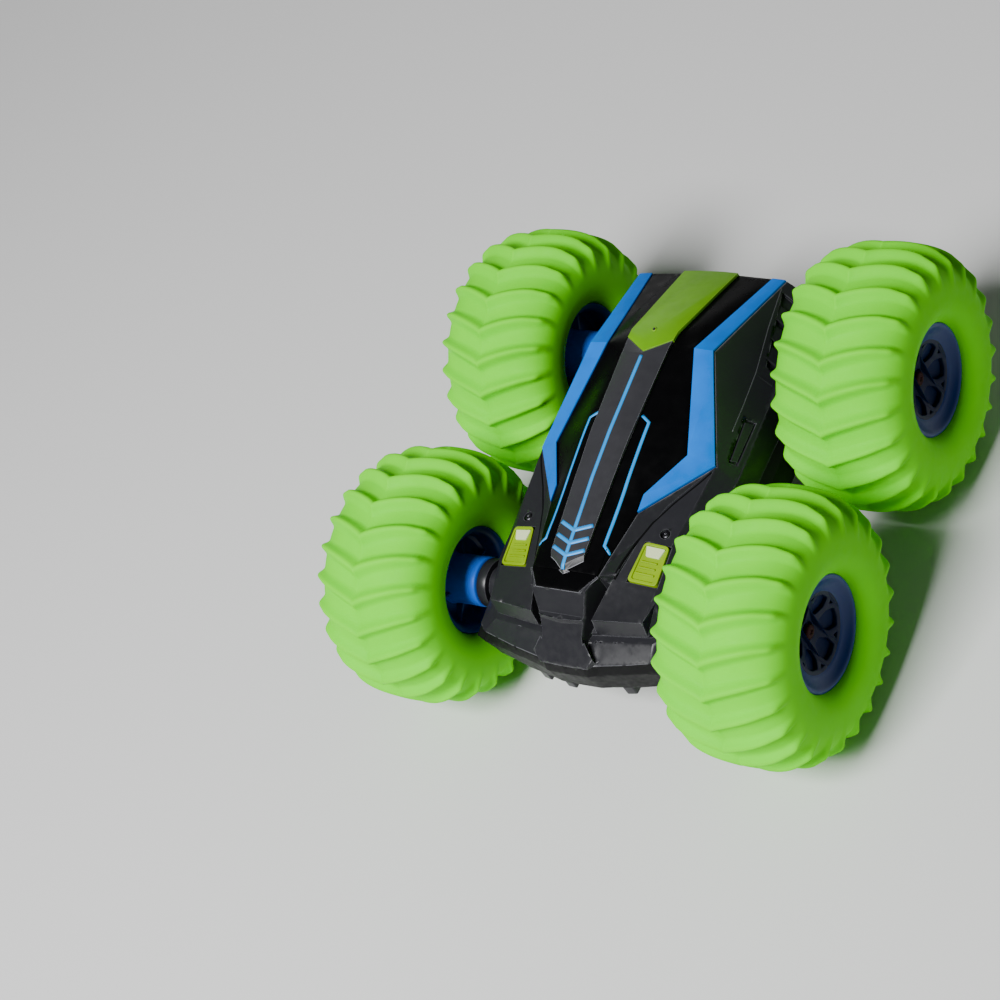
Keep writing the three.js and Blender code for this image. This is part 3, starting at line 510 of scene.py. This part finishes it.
def strip(path, width, surface, lift=0.28, sink=0.3, step=1.5, across=2):
    """A thin raised line that follows a path drawn in plan over a surface.

    path holds (x, y) points, and width is in millimetres. Corners are mitred.
    """
    points = [Vector(p) for p in path]
    sides = []
    for i, point in enumerate(points):
        before = (point - points[i - 1]).normalized() if i else None
        after = (points[i + 1] - point).normalized() if i < len(points) - 1 else None
        first, second = before or after, after or before
        normals = [Vector((-d.y, d.x)) for d in (first, second)]
        mitre = (normals[0] + normals[1]).normalized()
        sides.append(mitre * (width / 2) / max(0.5, mitre.dot(normals[0])))
    rows = []
    for i in range(len(points) - 1):
        parts = max(1, round((points[i + 1] - points[i]).length / step))
        last = i == len(points) - 2
        for k in range(parts + (1 if last else 0)):
            t = k / parts
            middle = points[i].lerp(points[i + 1], t)
            side = sides[i].lerp(sides[i + 1], t)
            rows.append([middle + side * (2 * c / across - 1) for c in range(across + 1)])
    mesh = bmesh.new()
    top = [[(p.x, p.y, height_on(surface, p.x, p.y) + lift) for p in row] for row in rows]
    low = [[(x, y, z - lift - sink) for x, y, z in (row[0], row[-1])] for row in top]
    loops = [row + [low_row[1], low_row[0]] for row, low_row in zip(top, low)]
    made = grid_faces(mesh, loops, closed_round=True)
    mesh.faces.new(made[0])
    mesh.faces.new(made[-1])
    bmesh.ops.recalc_face_normals(mesh, faces=mesh.faces)
    return mesh


# ---- Body --------------------------------------------------------------------------------------

SHELL_MESH = fine_copy("upper_shell", crisp=12)
HOOD_MESH = fine_copy("hood_panel", 4, 28, 14)
SHELL_SURFACE = BVHTree.FromBMesh(SHELL_MESH)
HOOD_SURFACE = BVHTree.FromBMesh(HOOD_MESH)
RIDGE_SURFACE = tree_of("centre_ridge")
PLATE_SURFACE = tree_of("spine_plate")


# The ridge's pointed tip: its middle and its right-hand corner in plan.
TIP = Vector((0, -87.2, 0))
TIP_CORNER = Vector((8.6, -82.6, 0))
TIP_CHAMFER = 1.6


def chamfer_tip(mesh):
    """Cuts a broad flat along the upper edges of the ridge's pointed tip."""
    top = max(vert.co.z for vert in mesh.verts if vert.co.y < TIP.y + 1)
    run = (TIP_CORNER - TIP).normalized()
    for sign in SIDES.values():
        normal = Vector((sign * run.y, -run.x, 1)).normalized()
        geometry = list(mesh.verts) + list(mesh.edges) + list(mesh.faces)
        cut = bmesh.ops.bisect_plane(
            mesh, geom=geometry, plane_co=TIP + Vector((0, 0, top - TIP_CHAMFER)),
            plane_no=normal, clear_outer=True
        )
        edges = [item for item in cut["geom_cut"] if isinstance(item, bmesh.types.BMEdge)]
        bmesh.ops.holes_fill(mesh, edges=edges, sides=0)


def body_shells():
    """The two shells, the hood, the ridge, the green plate and the blue stripes."""
    bevel(piece("shell_upper", SHELL_MESH, "shell", "body",
                ["upper_shell"]), 0.5, 2, 0)
    bevel(piece("shell_lower", fine_copy("lower_shell", crisp=12), "tub", "body",
                ["lower_shell"]), 0.6, 2, 0)
    bevel(piece("hood", HOOD_MESH, "hood", "body", ["hood_panel"]), 0.3, 2, 0)
    ridge = copy_of("centre_ridge")
    chamfer_tip(ridge)
    bevel(piece("ridge", ridge, "ridge", "body", ["centre_ridge"]), 0.35, 2)
    bevel(piece("spine", copy_of("spine_plate"), "plate", "body",
                ["spine_plate"]), 0.6, 3)
    for side in SIDES:
        bevel(piece(f"stripe_bar_{side}", copy_of(f"stripe_{side}"), "stripe", "body",
                    [f"stripe_{side}"]), 0.45)


# The painted lines on the ridge: one down the middle and three chevrons that point to the nose.
LINE_WIDTH = 2.1
LINE_REAR_Y = 41.0
LINE_FRONT_Y = -85.4
CHEVRON_Y = (-64.4, -71.6, -78.4)
CHEVRON_HALF = 10.2
CHEVRON_RUN = 4.4
CIRCUIT_WIDTH = 1.6
CIRCUIT_PATH = [(14.0, 6.2), (19.3, 2.9), (19.0, -68.5), (24.4, -72.7)]


def painted_lines():
    """The ridge's middle line and chevrons, and the hooked line on each side of the hood."""
    middle = strip([(0, LINE_REAR_Y), (0, LINE_FRONT_Y)], LINE_WIDTH, RIDGE_SURFACE, lift=0.2)
    for y in CHEVRON_Y:
        arms = [(-CHEVRON_HALF, y + CHEVRON_RUN), (0, y), (CHEVRON_HALF, y + CHEVRON_RUN)]
        join(middle, strip(arms, LINE_WIDTH, RIDGE_SURFACE, lift=0.24))
    piece("ridge_lines", middle, "line", "body")
    for side, sign in SIDES.items():
        path = [(sign * x, y) for x, y in CIRCUIT_PATH]
        line = strip(path, CIRCUIT_WIDTH, HOOD_SURFACE, lift=0.2)
        piece(f"hood_line_{side}", line, "line", "body")


FENDER_SEAM = [
    (56.0, -11.5), (52.0, -18.8), (43.2, -33.1), (36.0, -47.0), (31.6, -60.0), (28.4, -71.5),
    (26.2, -81.5),
]


def fender_seams():
    """The dark joint line that runs forward along each fender, as a strip of painted shade."""
    for side, sign in SIDES.items():
        path = [(sign * x, y) for x, y in FENDER_SEAM]
        # A near-black strip lies on the surface as painted shade for the joint's groove.
        seam = strip(path, 0.75, SHELL_SURFACE, lift=0.2)
        piece(f"fender_seam_{side}", seam, "seam", "body")


# The side of the cabin leans inwards: this point and slope give its plane.
FLANK_POINT = (56.3, 16.0, 28.5)
FLANK_SLOPE_Y = -0.052
FLANK_SLOPE_Z = -0.593
SLOT_PLATE = [(25.4, 24.6), (27.4, 20.1), (2.2, 20.8), (0.4, 23.9)]
FLANK_CREASE = [(48.3, 110.0), (50.9, 82.0), (53.9, 55.7), (55.3, 34.0), (56.2, 16.0)]
LOUVRE_REAR_Y = 100.5
LOUVRE_PITCH = 12.4
LOUVRE_LENGTH = 9.4


def flank_x(y, z):
    """How far the flank's plane lies from the middle of the car."""
    x, y0, z0 = FLANK_POINT
    return x + FLANK_SLOPE_Y * (y - y0) + FLANK_SLOPE_Z * (z - z0)


def flank_plate(outline, sign, depth, rise):
    """A plate on the side of the cabin: `rise` is how far its face stands out at each corner."""
    mesh = bmesh.new()
    low = [mesh.verts.new((sign * (flank_x(y, z) - depth), y, z)) for y, z in outline]
    high = [
        mesh.verts.new((sign * (flank_x(y, z) + out), y, z)) for (y, z), out in zip(outline, rise)
    ]
    mesh.faces.new(low)
    mesh.faces.new(high)
    count = len(outline)
    for i in range(count):
        j = (i + 1) % count
        mesh.faces.new((low[i], low[j], high[j], high[i]))
    bmesh.ops.recalc_face_normals(mesh, faces=mesh.faces)
    return mesh


def flank_details():
    """The plate in the flank's slot, the fold line above it and the louvres over the rear wheel."""
    for side, sign in SIDES.items():
        plate = flank_plate(SLOT_PLATE, sign, 1.9, [0.1] * 4)
        bevel(piece(f"slot_plate_{side}", plate, "shell", "body"), 0.3)
        path = [(sign * x, y) for x, y in FLANK_CREASE]
        crease = strip(path, 0.35, SHELL_SURFACE, lift=0.12)
        piece(f"flank_crease_{side}", crease, "shell", "body")
        louvres = bmesh.new()
        for i in range(4):
            rear = LOUVRE_REAR_Y - i * LOUVRE_PITCH
            front = rear - LOUVRE_LENGTH
            top = 28.6 + 0.04 * (rear - 60)
            outline = [(front, 19.0), (rear, 19.2), (rear, top), (front, top - 0.4)]
            join(louvres, flank_plate(outline, sign, 3.0, [0.5, -0.7, -0.9, 0.1]))
        bevel(piece(f"louvres_{side}", louvres, "shell", "body"), 0.4)


def skids():
    """Feet and a rub strip under the front edge of the tub."""
    middle = rounded([(-12, -121.2), (-5.6, -121.6), (-5.6, -114.5), (-12, -114.5)], 1.0)
    bevel(piece("skid_middle", prism(middle, "z", -26.6, -21.0), "shell", "body"), 0.8, 3)
    for side, sign in SIDES.items():
        foot = [(24.6, -118.8), (31.0, -117.6), (31.0, -109.5), (24.6, -110.5)]
        shape = rounded([(sign * x, y) for x, y in foot], 1.2)
        bevel(piece(f"skid_{side}", prism(shape, "z", -28.4, -21.0), "shell", "body"), 1.0, 3)


def chin_chamfers():
    """The bright chamfered edge on each side of the hood's chin."""
    for side, sign in SIDES.items():
        edge = [Vector((13.8, -95.6, 33.3)), Vector((21.0, -85.3, 34.0))]
        out = Vector((0.83, -0.557, 0))
        mesh = bmesh.new()
        rows = []
        for point in edge:
            corners = [point + out * 0.1 + Vector((0, 0, 0.35)), point + out * 1.5,
                       point + out * 0.6 - Vector((0, 0, 1.6)), point - Vector((0, 0, 1.2))]
            rows.append([(sign * p.x, p.y, p.z) for p in corners])
        made = grid_faces(mesh, rows, closed_round=True)
        mesh.faces.new(made[0])
        mesh.faces.new(made[1])
        bmesh.ops.recalc_face_normals(mesh, faces=mesh.faces)
        bevel(piece(f"chin_edge_{side}", mesh, "ridge", "body"), 0.15)


def spine_details():
    """The dimple near the front of the green plate, with a small screw head in it."""
    x, y = 0, 58.8
    z = height_on(PLATE_SURFACE, x, y)
    ring = turned([(0.8, -0.1), (0.8, 0.15), (1.2, 0.18), (1.5, -0.1)])
    ring.transform(Matrix.Translation((x, y, z)) @ Matrix.Rotation(-math.pi / 2, 4, "Y"))
    piece("spine_screw_ring", ring, "plate", "body")
    head = screw_head(0.8)
    head.transform(Matrix.Translation((x, y, z + 0.05)))
    piece("spine_screw", head, "dark_steel", "body")


def screw_head(radius, height=0.9):
    """A pan head on the XY plane with a cross recess."""
    mesh = bmesh.new()
    rings = [(radius, -0.6), (radius, 0.0), (radius * 0.94, height * 0.45),
             (radius * 0.72, height * 0.85), (radius * 0.42, height)]
    segments = 32
    rows = []
    for r, z in rings:
        rows.append([
            (r * math.cos(2 * math.pi * i / segments), r * math.sin(2 * math.pi * i / segments), z)
            for i in range(segments)
        ])
    arm, web = 0.40, 0.13
    recess = []
    for i in range(segments):
        angle = 2 * math.pi * i / segments
        along = max(abs(math.cos(angle)), abs(math.sin(angle)))
        narrow = min(abs(math.cos(angle)), abs(math.sin(angle)))
        reach = radius * min(arm / along, web / max(narrow, 0.05))
        reach = max(reach, radius * web * 1.3)
        recess.append((reach * math.cos(angle), reach * math.sin(angle)))
    rows.append([(x, y, height) for x, y in recess])
    rows.append([(x * 0.7, y * 0.7, height - 0.7) for x, y in recess])
    made = grid_faces(mesh, rows, closed_round=True)
    mesh.faces.new(made[0])
    mesh.faces.new(made[-1])
    bmesh.ops.recalc_face_normals(mesh, faces=mesh.faces)
    return mesh


# ---- Lamps -------------------------------------------------------------------------------------

LAMP_CORNERS = [(50.6, -58.4), (36.4, -58.4), (33.2, -80.8), (50.6, -80.8)]
LAMP_INNER = [(49.3, -59.9), (37.2, -59.9), (35.2, -79.2), (49.3, -79.2)]
LENS_CORNERS = [(48.7, -60.4), (37.9, -60.4), (39.2, -66.0), (46.8, -66.0)]
LAMP_RIBS = [(-69.0, 37.6, 46.9), (-72.3, 36.9, 46.9), (-75.6, 36.1, 47.3)]
LAMP_RISE = 0.9
LAMP_WELL = 0.0
LAMP_SINK = -1.9  # how deep a lamp body reaches into the fender
RIB_HALF = 0.45


def lamp_plane(side):
    """The slope that a lamp cover lies on, from the highest points of its four CAD corners."""
    verts = [v.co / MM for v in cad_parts[f"lamp_cover_{side}"].data.vertices]
    low, high = box_mm(f"lamp_cover_{side}")
    inner = min(abs(low.x), abs(high.x))

    def top(x, y):
        near = [v.z for v in verts if abs(abs(v.x) - x) < 0.8 and abs(v.y - y) < 0.8]
        return max(near) - AXLE_Z - 1.4

    outer_x = max(abs(low.x), abs(high.x))
    rear_inner = inner + 3.2
    heights = [top(outer_x, high.y), top(rear_inner, high.y)]
    heights += [top(inner, low.y), top(outer_x, low.y)]

    def height(x, y):
        along = (high.y - y) / (high.y - low.y)
        inner_x = rear_inner + (inner - rear_inner) * along
        across = (outer_x - x) / (outer_x - inner_x)
        rear = heights[0] + (heights[1] - heights[0]) * across
        front = heights[3] + (heights[2] - heights[3]) * across
        return rear + (front - rear) * along

    return height


def slab(outline, height, low, high, sign):
    """A plate whose top and bottom follow a slope: low and high are counted from it."""
    mesh = bmesh.new()
    rings = []
    for level in (low, high):
        rings.append([mesh.verts.new((sign * x, y, height(x, y) + level)) for x, y in outline])
    mesh.faces.new(rings[0])
    mesh.faces.new(rings[1])
    count = len(outline)
    for i in range(count):
        j = (i + 1) % count
        mesh.faces.new((rings[0][i], rings[0][j], rings[1][j], rings[1][i]))
    bmesh.ops.recalc_face_normals(mesh, faces=mesh.faces)
    return mesh


def tray(outer, inner, height, low, rim, well, sign):
    """A slab with a raised border round a sunken middle."""
    mesh = bmesh.new()
    levels = [(outer, low), (outer, rim), (inner, rim), (inner, well)]
    rings = []
    for outline, level in levels:
        rings.append([mesh.verts.new((sign * x, y, height(x, y) + level)) for x, y in outline])
    count = len(outer)
    for lower, upper in zip(rings, rings[1:]):
        for i in range(count):
            j = (i + 1) % count
            mesh.faces.new((lower[i], lower[j], upper[j], upper[i]))
    mesh.faces.new(rings[0])
    mesh.faces.new(rings[-1])
    bmesh.ops.recalc_face_normals(mesh, faces=mesh.faces)
    return mesh


def lamps():
    """On each side: the lamp's tray, its ribs, its window and the screw behind it."""
    for side, sign in SIDES.items():
        height = lamp_plane(side)
        cover = tray(rounded(LAMP_CORNERS, 2.6), rounded(LAMP_INNER, 1.7), height, LAMP_SINK,
                     LAMP_RISE, LAMP_WELL, sign)
        made = piece(f"lamp_body_{side}", cover, "lamp", "body",
                     [f"lamp_cover_{side}"])
        bevel(made, 0.3, 2)
        ribs = bmesh.new()
        for y, x0, x1 in LAMP_RIBS:
            rib = [(x1, y + RIB_HALF), (x0, y + RIB_HALF), (x0, y - RIB_HALF), (x1, y - RIB_HALF)]
            join(ribs, slab(rib, height, LAMP_WELL - 0.2, LAMP_WELL + LAMP_RISE, sign))
        bevel(piece(f"lamp_ribs_{side}", ribs, "lamp", "body"), 0.25, 2)
        window = rounded(LENS_CORNERS, 0.5, 2)
        lens = slab(window, height, LAMP_WELL - 0.2, LAMP_WELL + LAMP_RISE, sign)
        bevel(piece(f"lamp_glass_{side}", lens, "lens", "body",
                    [f"lamp_lens_{side}"]), 0.25, 2)
        low, high = box_mm(f"lamp_screw_{side}")
        head = screw_head((high.x - low.x) / 2 * 0.9)
        middle = (low + high) / 2
        head.transform(Matrix.Translation((middle.x, middle.y, high.z - AXLE_Z - 1.0)))
        piece(f"fender_screw_{side}", head, "dark_steel", "body",
              [f"lamp_screw_{side}"])


# ---- Wheels ------------------------------------------------------------------------------------

LUGS = 24
LUG_HEIGHT = 5.0
LUG_SWEEP = math.radians(9.4)
CARCASS_RADIUS = TYRE_RADIUS - LUG_HEIGHT
SECTION_RADIUS = 43.0  # where the tyre is widest
SECTION_POWER = 2.6
BEAD_RADIUS = 30.4
BEAD_X = 28.1
WALL = 3.0
PARTING_LINE = 0.25  # height of the mould line round the middle of the tread
CROWN_X = (0.8, 3, 6, 9.5, 13, 16.5, 20, 23, 26)
# The shoulder end of a lug: (x on the carcass, x and radius of the lug's corner over it).
SHOULDER = [
    (28.5, 29.5, 65.7), (30.5, 32.2, 63.9), (31.6, 33.6, 62.6), (32.4, 34.4, 61.3),
    (33.2, 34.8, 59.9), (34.2, 35.2, 58.0), (35.0, 35.6, 56.1), (35.8, 36.1, 53.8),
]


def carcass(x):
    """The tyre's outer radius without lugs, at x from its middle."""
    share = max(0.0, 1 - abs(x / TYRE_HALF_WIDTH) ** SECTION_POWER)
    return SECTION_RADIUS + (CARCASS_RADIUS - SECTION_RADIUS) * share ** (1 / SECTION_POWER)


def tread_rows():
    """Half of the tyre's section, middle to bead: (x, radius, x and radius of the lug's crest)."""
    top = CARCASS_RADIUS + PARTING_LINE
    rows = [(0, top, 0, top + LUG_HEIGHT - PARTING_LINE)]
    rows += [(x, carcass(x), x, carcass(x) + LUG_HEIGHT) for x in CROWN_X]
    rows += [(x, carcass(x), crest_x, crest) for x, crest_x, crest in SHOULDER]
    plain = [(36.4, carcass(36.4)), (36.8, carcass(36.8))]
    for step in range(9):
        angle = math.radians(90 * step / 8)
        x = BEAD_X + (TYRE_HALF_WIDTH - BEAD_X) * math.cos(angle)
        plain.append((x, SECTION_RADIUS - (SECTION_RADIUS - BEAD_RADIUS) * math.sin(angle)))
    plain += [(BEAD_X - 2.4, BEAD_RADIUS - 1.2), (BEAD_X - 4.0, BEAD_RADIUS + 0.6)]
    return rows + [(x, radius, x, radius) for x, radius in plain]


# Points across one lug: (place, share of the height). A place from -1 to 1 is across the lug, from
# root to root, and from 1 to 2 across the valley behind it.
LUG_STATIONS = [
    (-1.0, 0.0), (-0.82, 0.06), (-0.64, 0.22), (-0.46, 0.50), (-0.30, 0.78), (-0.15, 0.95),
    (0.0, 1.0), (0.15, 0.95), (0.30, 0.78), (0.46, 0.50), (0.64, 0.22), (0.82, 0.06), (1.0, 0.0),
    (1.5, 0.0),
]
LUG_HALF_MIDDLE = math.radians(5.4)
LUG_HALF_SHOULDER = math.radians(4.2)


def tyre_mesh(centre, phase):
    """One hollow tyre with its V-shaped lugs, its first lug at the angle `phase`."""
    half = tread_rows()
    rows = [(-x, r, -cx, cr) for x, r, cx, cr in reversed(half[1:])] + half
    inside = []
    for x, r, _, _ in reversed(rows[3:-3:2]):
        radius = max(BEAD_RADIUS + 1.5, r - WALL)
        inside.append((x * 0.9, radius, x * 0.9, radius))
    pitch = 2 * math.pi / LUGS
    grid = []
    for lug in range(LUGS):
        for place, share in LUG_STATIONS:
            ring = []
            for x, radius, crest_x, crest in rows + inside:
                spread = min(abs(x) / 34, 1.0)
                half_base = LUG_HALF_MIDDLE + (LUG_HALF_SHOULDER - LUG_HALF_MIDDLE) * spread
                if place <= 1:
                    angle = place * half_base
                else:
                    angle = half_base + (place - 1) * (pitch - 2 * half_base)
                theta = phase + lug * pitch + angle + LUG_SWEEP * spread ** 0.78
                r = radius + (crest - radius) * share
                out_x = x + (crest_x - x) * share
                ring.append(Vector((out_x, -r * math.cos(theta), r * math.sin(theta))))
            grid.append(ring)
    mesh = bmesh.new()
    grid_faces(mesh, grid, closed_round=True, closed_along=True)
    bmesh.ops.recalc_face_normals(mesh, faces=mesh.faces)
    mesh.transform(Matrix.Translation(centre))
    return mesh


DISH_RADIUS = 21.0
DISH_DEPTH = 6.4  # how far the hub lies below the edge of the web
SPOKES = 6
HUB_HOLE = 5.6


def web_plate():
    """The wheel's face: a disc with six Y-shaped spokes left between its windows."""
    curve = bpy.data.curves.new("web", "CURVE")
    curve.dimensions = "2D"
    curve.fill_mode = "BOTH"
    curve.extrude = 1.4 * MM
    curve.bevel_depth = 0.45 * MM
    curve.bevel_resolution = 2

    def loop(points):
        spline = curve.splines.new("POLY")
        spline.points.add(len(points) - 1)
        for target, (u, v) in zip(spline.points, points):
            target.co = (u * MM, v * MM, 0, 1)
        spline.use_cyclic_u = True

    def polar(radius, degrees):
        return (radius * math.cos(math.radians(degrees)), radius * math.sin(math.radians(degrees)))

    loop([polar(DISH_RADIUS + 1, 360 * i / 72) for i in range(72)])
    loop([polar(HUB_HOLE, 360 * i / 36) for i in range(36)])
    for spoke in range(SPOKES):
        turn = 360 * spoke / SPOKES
        window = [polar(8.8, turn - 17), polar(14.4, turn - 24.6), polar(19.3, turn - 16.5),
                  polar(19.7, turn), polar(19.3, turn + 16.5), polar(14.4, turn + 24.6),
                  polar(8.8, turn + 17)]
        loop(rounded(window, 1.2, 4))
        fork = [polar(19.8, turn + 30 - 8), polar(17.0, turn + 30), polar(19.8, turn + 30 + 8)]
        loop(rounded(fork, 0.6, 3))
    scratch = bpy.data.objects.new("web", curve)
    bpy.context.scene.collection.objects.link(scratch)
    bpy.context.view_layer.update()
    flat = scratch.evaluated_get(bpy.context.evaluated_depsgraph_get()).to_mesh()
    mesh = bmesh.new()
    mesh.from_mesh(flat)
    bpy.data.objects.remove(scratch)
    bpy.data.curves.remove(curve)
    bmesh.ops.remove_doubles(mesh, verts=mesh.verts, dist=0.00001)
    mesh.transform(Matrix.Rotation(math.pi / 2, 4, "Y") @ Matrix.Scale(1 / MM, 4))
    for vert in mesh.verts:
        reach = (math.hypot(vert.co.y, vert.co.z) - HUB_HOLE) / (DISH_RADIUS - HUB_HOLE)
        vert.co.x += DISH_DEPTH * min(1.0, max(0.0, reach))
    return mesh


def rim_barrel(sign, centre_y):
    """The outer lip and its slope to the web, the pocket floor, the barrel and the inner dish."""
    profile = [
        (3.3, 126.6), (3.3, 124.4), (24.0, 124.4), (25.4, 122.0), (25.4, 99.0), (24.4, 97.6),
        (14.9, 97.2), (14.9, 95.8), (23.0, 95.2), (24.6, 93.8), (25.2, 90.0), (25.6, 86.0),
        (26.2, 84.4), (27.4, 83.2), (28.8, 82.5), (29.8, 82.3), (30.6, 83.2), (30.2, 85.2),
        (28.2, 86.6), (28.2, 136.4), (30.2, 138.0), (30.6, 139.8), (30.1, 140.5), (29.2, 140.7),
        (28.4, 140.5), (27.2, 139.5), (25.0, 138.0), (23.0, 137.1), (21.4, 136.6), (20.6, 135.8),
        (20.2, 132.4),
    ]
    return turned(profile, sign, 96, (0, centre_y, 0))


def hub_tube(sign, centre_y):
    """The light blue tube towards the body, with a groove near its end."""
    profile = [
        (3.4, 72.7), (13.0, 72.7), (13.7, 72.9), (14.1, 73.4), (14.1, 77.0), (13.7, 77.2),
        (13.7, 77.7), (14.0, 77.9), (14.0, 92.0), (14.4, 95.2), (15.6, 97.2), (3.4, 97.2),
    ]
    return turned(profile, sign, 72, (0, centre_y, 0))


def inner_ribs(sign, centre_y):
    """Thin webs between the hub tube and the inner dish."""
    mesh = bmesh.new()
    for i in range(SPOKES):
        web = prism([(91.0, 13.6), (95.8, 13.6), (95.6, 24.6), (93.0, 24.6)], "y", -0.6, 0.6)
        web.transform(Matrix.Rotation(math.radians(360 * i / SPOKES + 12), 4, "X"))
        join(mesh, web)
    if sign < 0:
        mesh.transform(Matrix.Scale(-1, 4, (1, 0, 0)))
        bmesh.ops.reverse_faces(mesh, faces=mesh.faces)
    mesh.transform(Matrix.Translation((0, centre_y, 0)))
    return mesh


WEB_X = 128.4
# The floor of the pockets behind the spokes: a dished ring of (radius, x) points.
DISH_FLOOR = [
    (3.3, 128.0), (5.6, 128.0), (20.9, 134.2), (20.9, 132.0), (5.6, 125.0), (3.3, 125.0),
]
COLLAR = [
    (10.0, 65.4), (13.5, 65.4), (13.8, 65.8), (13.8, 71.0), (13.4, 71.6), (12.6, 71.9),
    (3.4, 71.9), (3.4, 58.0), (10.0, 58.0),
]
HUB_SCREW_X = 130.9
PHASES = {"front_left": 56.9, "rear_left": 57.0, "front_right": 58.0, "rear_right": 61.0}


def wheels():
    """Tyre, rim barrel, pocket floor, spoked web, hub tube, screw and collar at each corner."""
    for corner in CORNERS:
        sign = SIDES[corner.split("_")[1]]
        body = f"wheel_{corner}"
        middle = centre_mm(f"tyre_{corner}")
        centre = Vector((middle.x, middle.y, 0))
        tyre = tyre_mesh(centre, math.radians(PHASES[corner]))
        piece(f"balloon_tyre_{corner}", tyre, "tyre", body, [f"tyre_{corner}"])
        barrel = rim_barrel(sign, middle.y)
        join(barrel, inner_ribs(sign, middle.y))
        piece(f"rim_barrel_{corner}", barrel, "rim", body, [f"rim_{corner}"], 30)
        dish = turned(DISH_FLOOR, sign, 72, (0, middle.y, 0))
        piece(f"rim_floor_{corner}", dish, "pocket", body, crisp=30)
        web = web_plate()
        if sign < 0:
            web.transform(Matrix.Scale(-1, 4, (1, 0, 0)))
            bmesh.ops.reverse_faces(web, faces=web.faces)
        web.transform(Matrix.Translation((sign * WEB_X, middle.y, 0)))
        piece(f"rim_web_{corner}", web, "web", body, crisp=30)
        tube = hub_tube(sign, middle.y)
        piece(f"hub_tube_{corner}", tube, "hub", body, crisp=50)
        head = screw_head(4.2, 1.3)
        turn = Matrix.Rotation(sign * math.pi / 2, 4, "Y")
        head.transform(Matrix.Translation((sign * HUB_SCREW_X, middle.y, 0)) @ turn)
        piece(f"hub_screw_{corner}", head, "rust_steel", body, [f"wheel_screw_{corner}"])
        ring = turned(COLLAR, sign, 64, (0, middle.y, 0))
        piece(f"collar_{corner}", ring, "shell", "body",
              [f"axle_collar_{corner}"], 50)


# ---- Carried-over CAD nodes --------------------------------------------------------------------

INSIDE = {
    "circuit_board": "board",
    "battery_pack": "wrap",
    "battery_door": "shell",
    "battery_door_screw": "steel",
    "power_switch_knob": "black",
    "power_switch_body": "black",
    "gearbox_plate": "black",
    "centre_gear": "nylon",
    "pinion": "nylon",
    "idler_gear": "nylon",
    "axle_gear": "nylon",
    "axle": "steel",
    "motor": "steel",
    "belly_screw": "steel",
    "lamp_led": "lens",
}


def dress_cad_nodes():
    """Gives each CAD node that stays its procedural material."""
    for name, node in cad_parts.items():
        kinds = [kind for kind in INSIDE if name.startswith(kind)]
        if not kinds:
            continue
        look = LOOKS[INSIDE[max(kinds, key=len)]]
        if node.material_slots:
            for place in node.material_slots:
                place.link = "OBJECT"
                place.material = look
        else:
            node.data.materials.append(look)


# ---- Stage -------------------------------------------------------------------------------------

CAMERA_AT = Vector((0.6886, -0.5503, 0.9458))
CAMERA_TARGET = Vector((-0.0940, -0.0265, 0.0725))
CAMERA_ROLL = math.radians(-38.24)
CAMERA_LENS = 81.09


def camera():
    """Looks down on the nose from the car's left, tilted."""
    data = bpy.data.cameras.new("camera")
    data.lens = CAMERA_LENS
    data.sensor_width = 36
    made = bpy.data.objects.new("camera", data)
    bpy.context.scene.collection.objects.link(made)
    aim = (CAMERA_TARGET - CAMERA_AT).to_track_quat("-Z", "Y").to_matrix().to_4x4()
    roll = Matrix.Rotation(CAMERA_ROLL, 4, "Z")
    made.matrix_world = Matrix.Translation(CAMERA_AT) @ aim @ roll
    bpy.context.scene.camera = made


def floor():
    """A plain pale floor."""
    mesh = bmesh.new()
    bmesh.ops.create_grid(mesh, x_segments=8, y_segments=8, size=6.0)
    data = bpy.data.meshes.new("floor")
    mesh.to_mesh(data)
    mesh.free()
    look = Look("floor_pale", (0.7, 0.7, 0.7, 1), 0.75)
    look.tint(look.spread(look.noise(900, 2), 0.3, 0.7, 0, 0.3), (0.68, 0.68, 0.685, 1))
    data.materials.append(look.material)
    made = bpy.data.objects.new("floor", data)
    bpy.context.scene.collection.objects.link(made)


def area_light(name, place, target, size, watts):
    """A rectangular lamp of `size` metres, aimed at a point."""
    data = bpy.data.lights.new(name, "AREA")
    data.shape = "RECTANGLE"
    data.size, data.size_y = size
    data.energy = watts
    made = bpy.data.objects.new(name, data)
    bpy.context.scene.collection.objects.link(made)
    aim = (Vector(target) - Vector(place)).to_track_quat("-Z", "Y").to_matrix().to_4x4()
    made.matrix_world = Matrix.Translation(place) @ aim


def lights():
    """One soft key lamp above the nose, a weak lamp behind and a dim even sky."""
    middle = (0, 0, 0.07)
    area_light("key", (-0.02, -1.28, 1.82), middle, (0.8, 0.9), 88)
    area_light("rear", (-1.3, 1.4, 0.7), middle, (0.9, 0.6), 2)
    world = bpy.data.worlds.new("world")
    world.use_nodes = True
    world.node_tree.nodes["Background"].inputs["Color"].default_value = (1, 1, 1, 1)
    world.node_tree.nodes["Background"].inputs["Strength"].default_value = 0.08
    bpy.context.scene.world = world


camera()
floor()
lights()
body_shells()
painted_lines()
fender_seams()
spine_details()
flank_details()
skids()
chin_chamfers()
lamps()
wheels()
dress_cad_nodes()
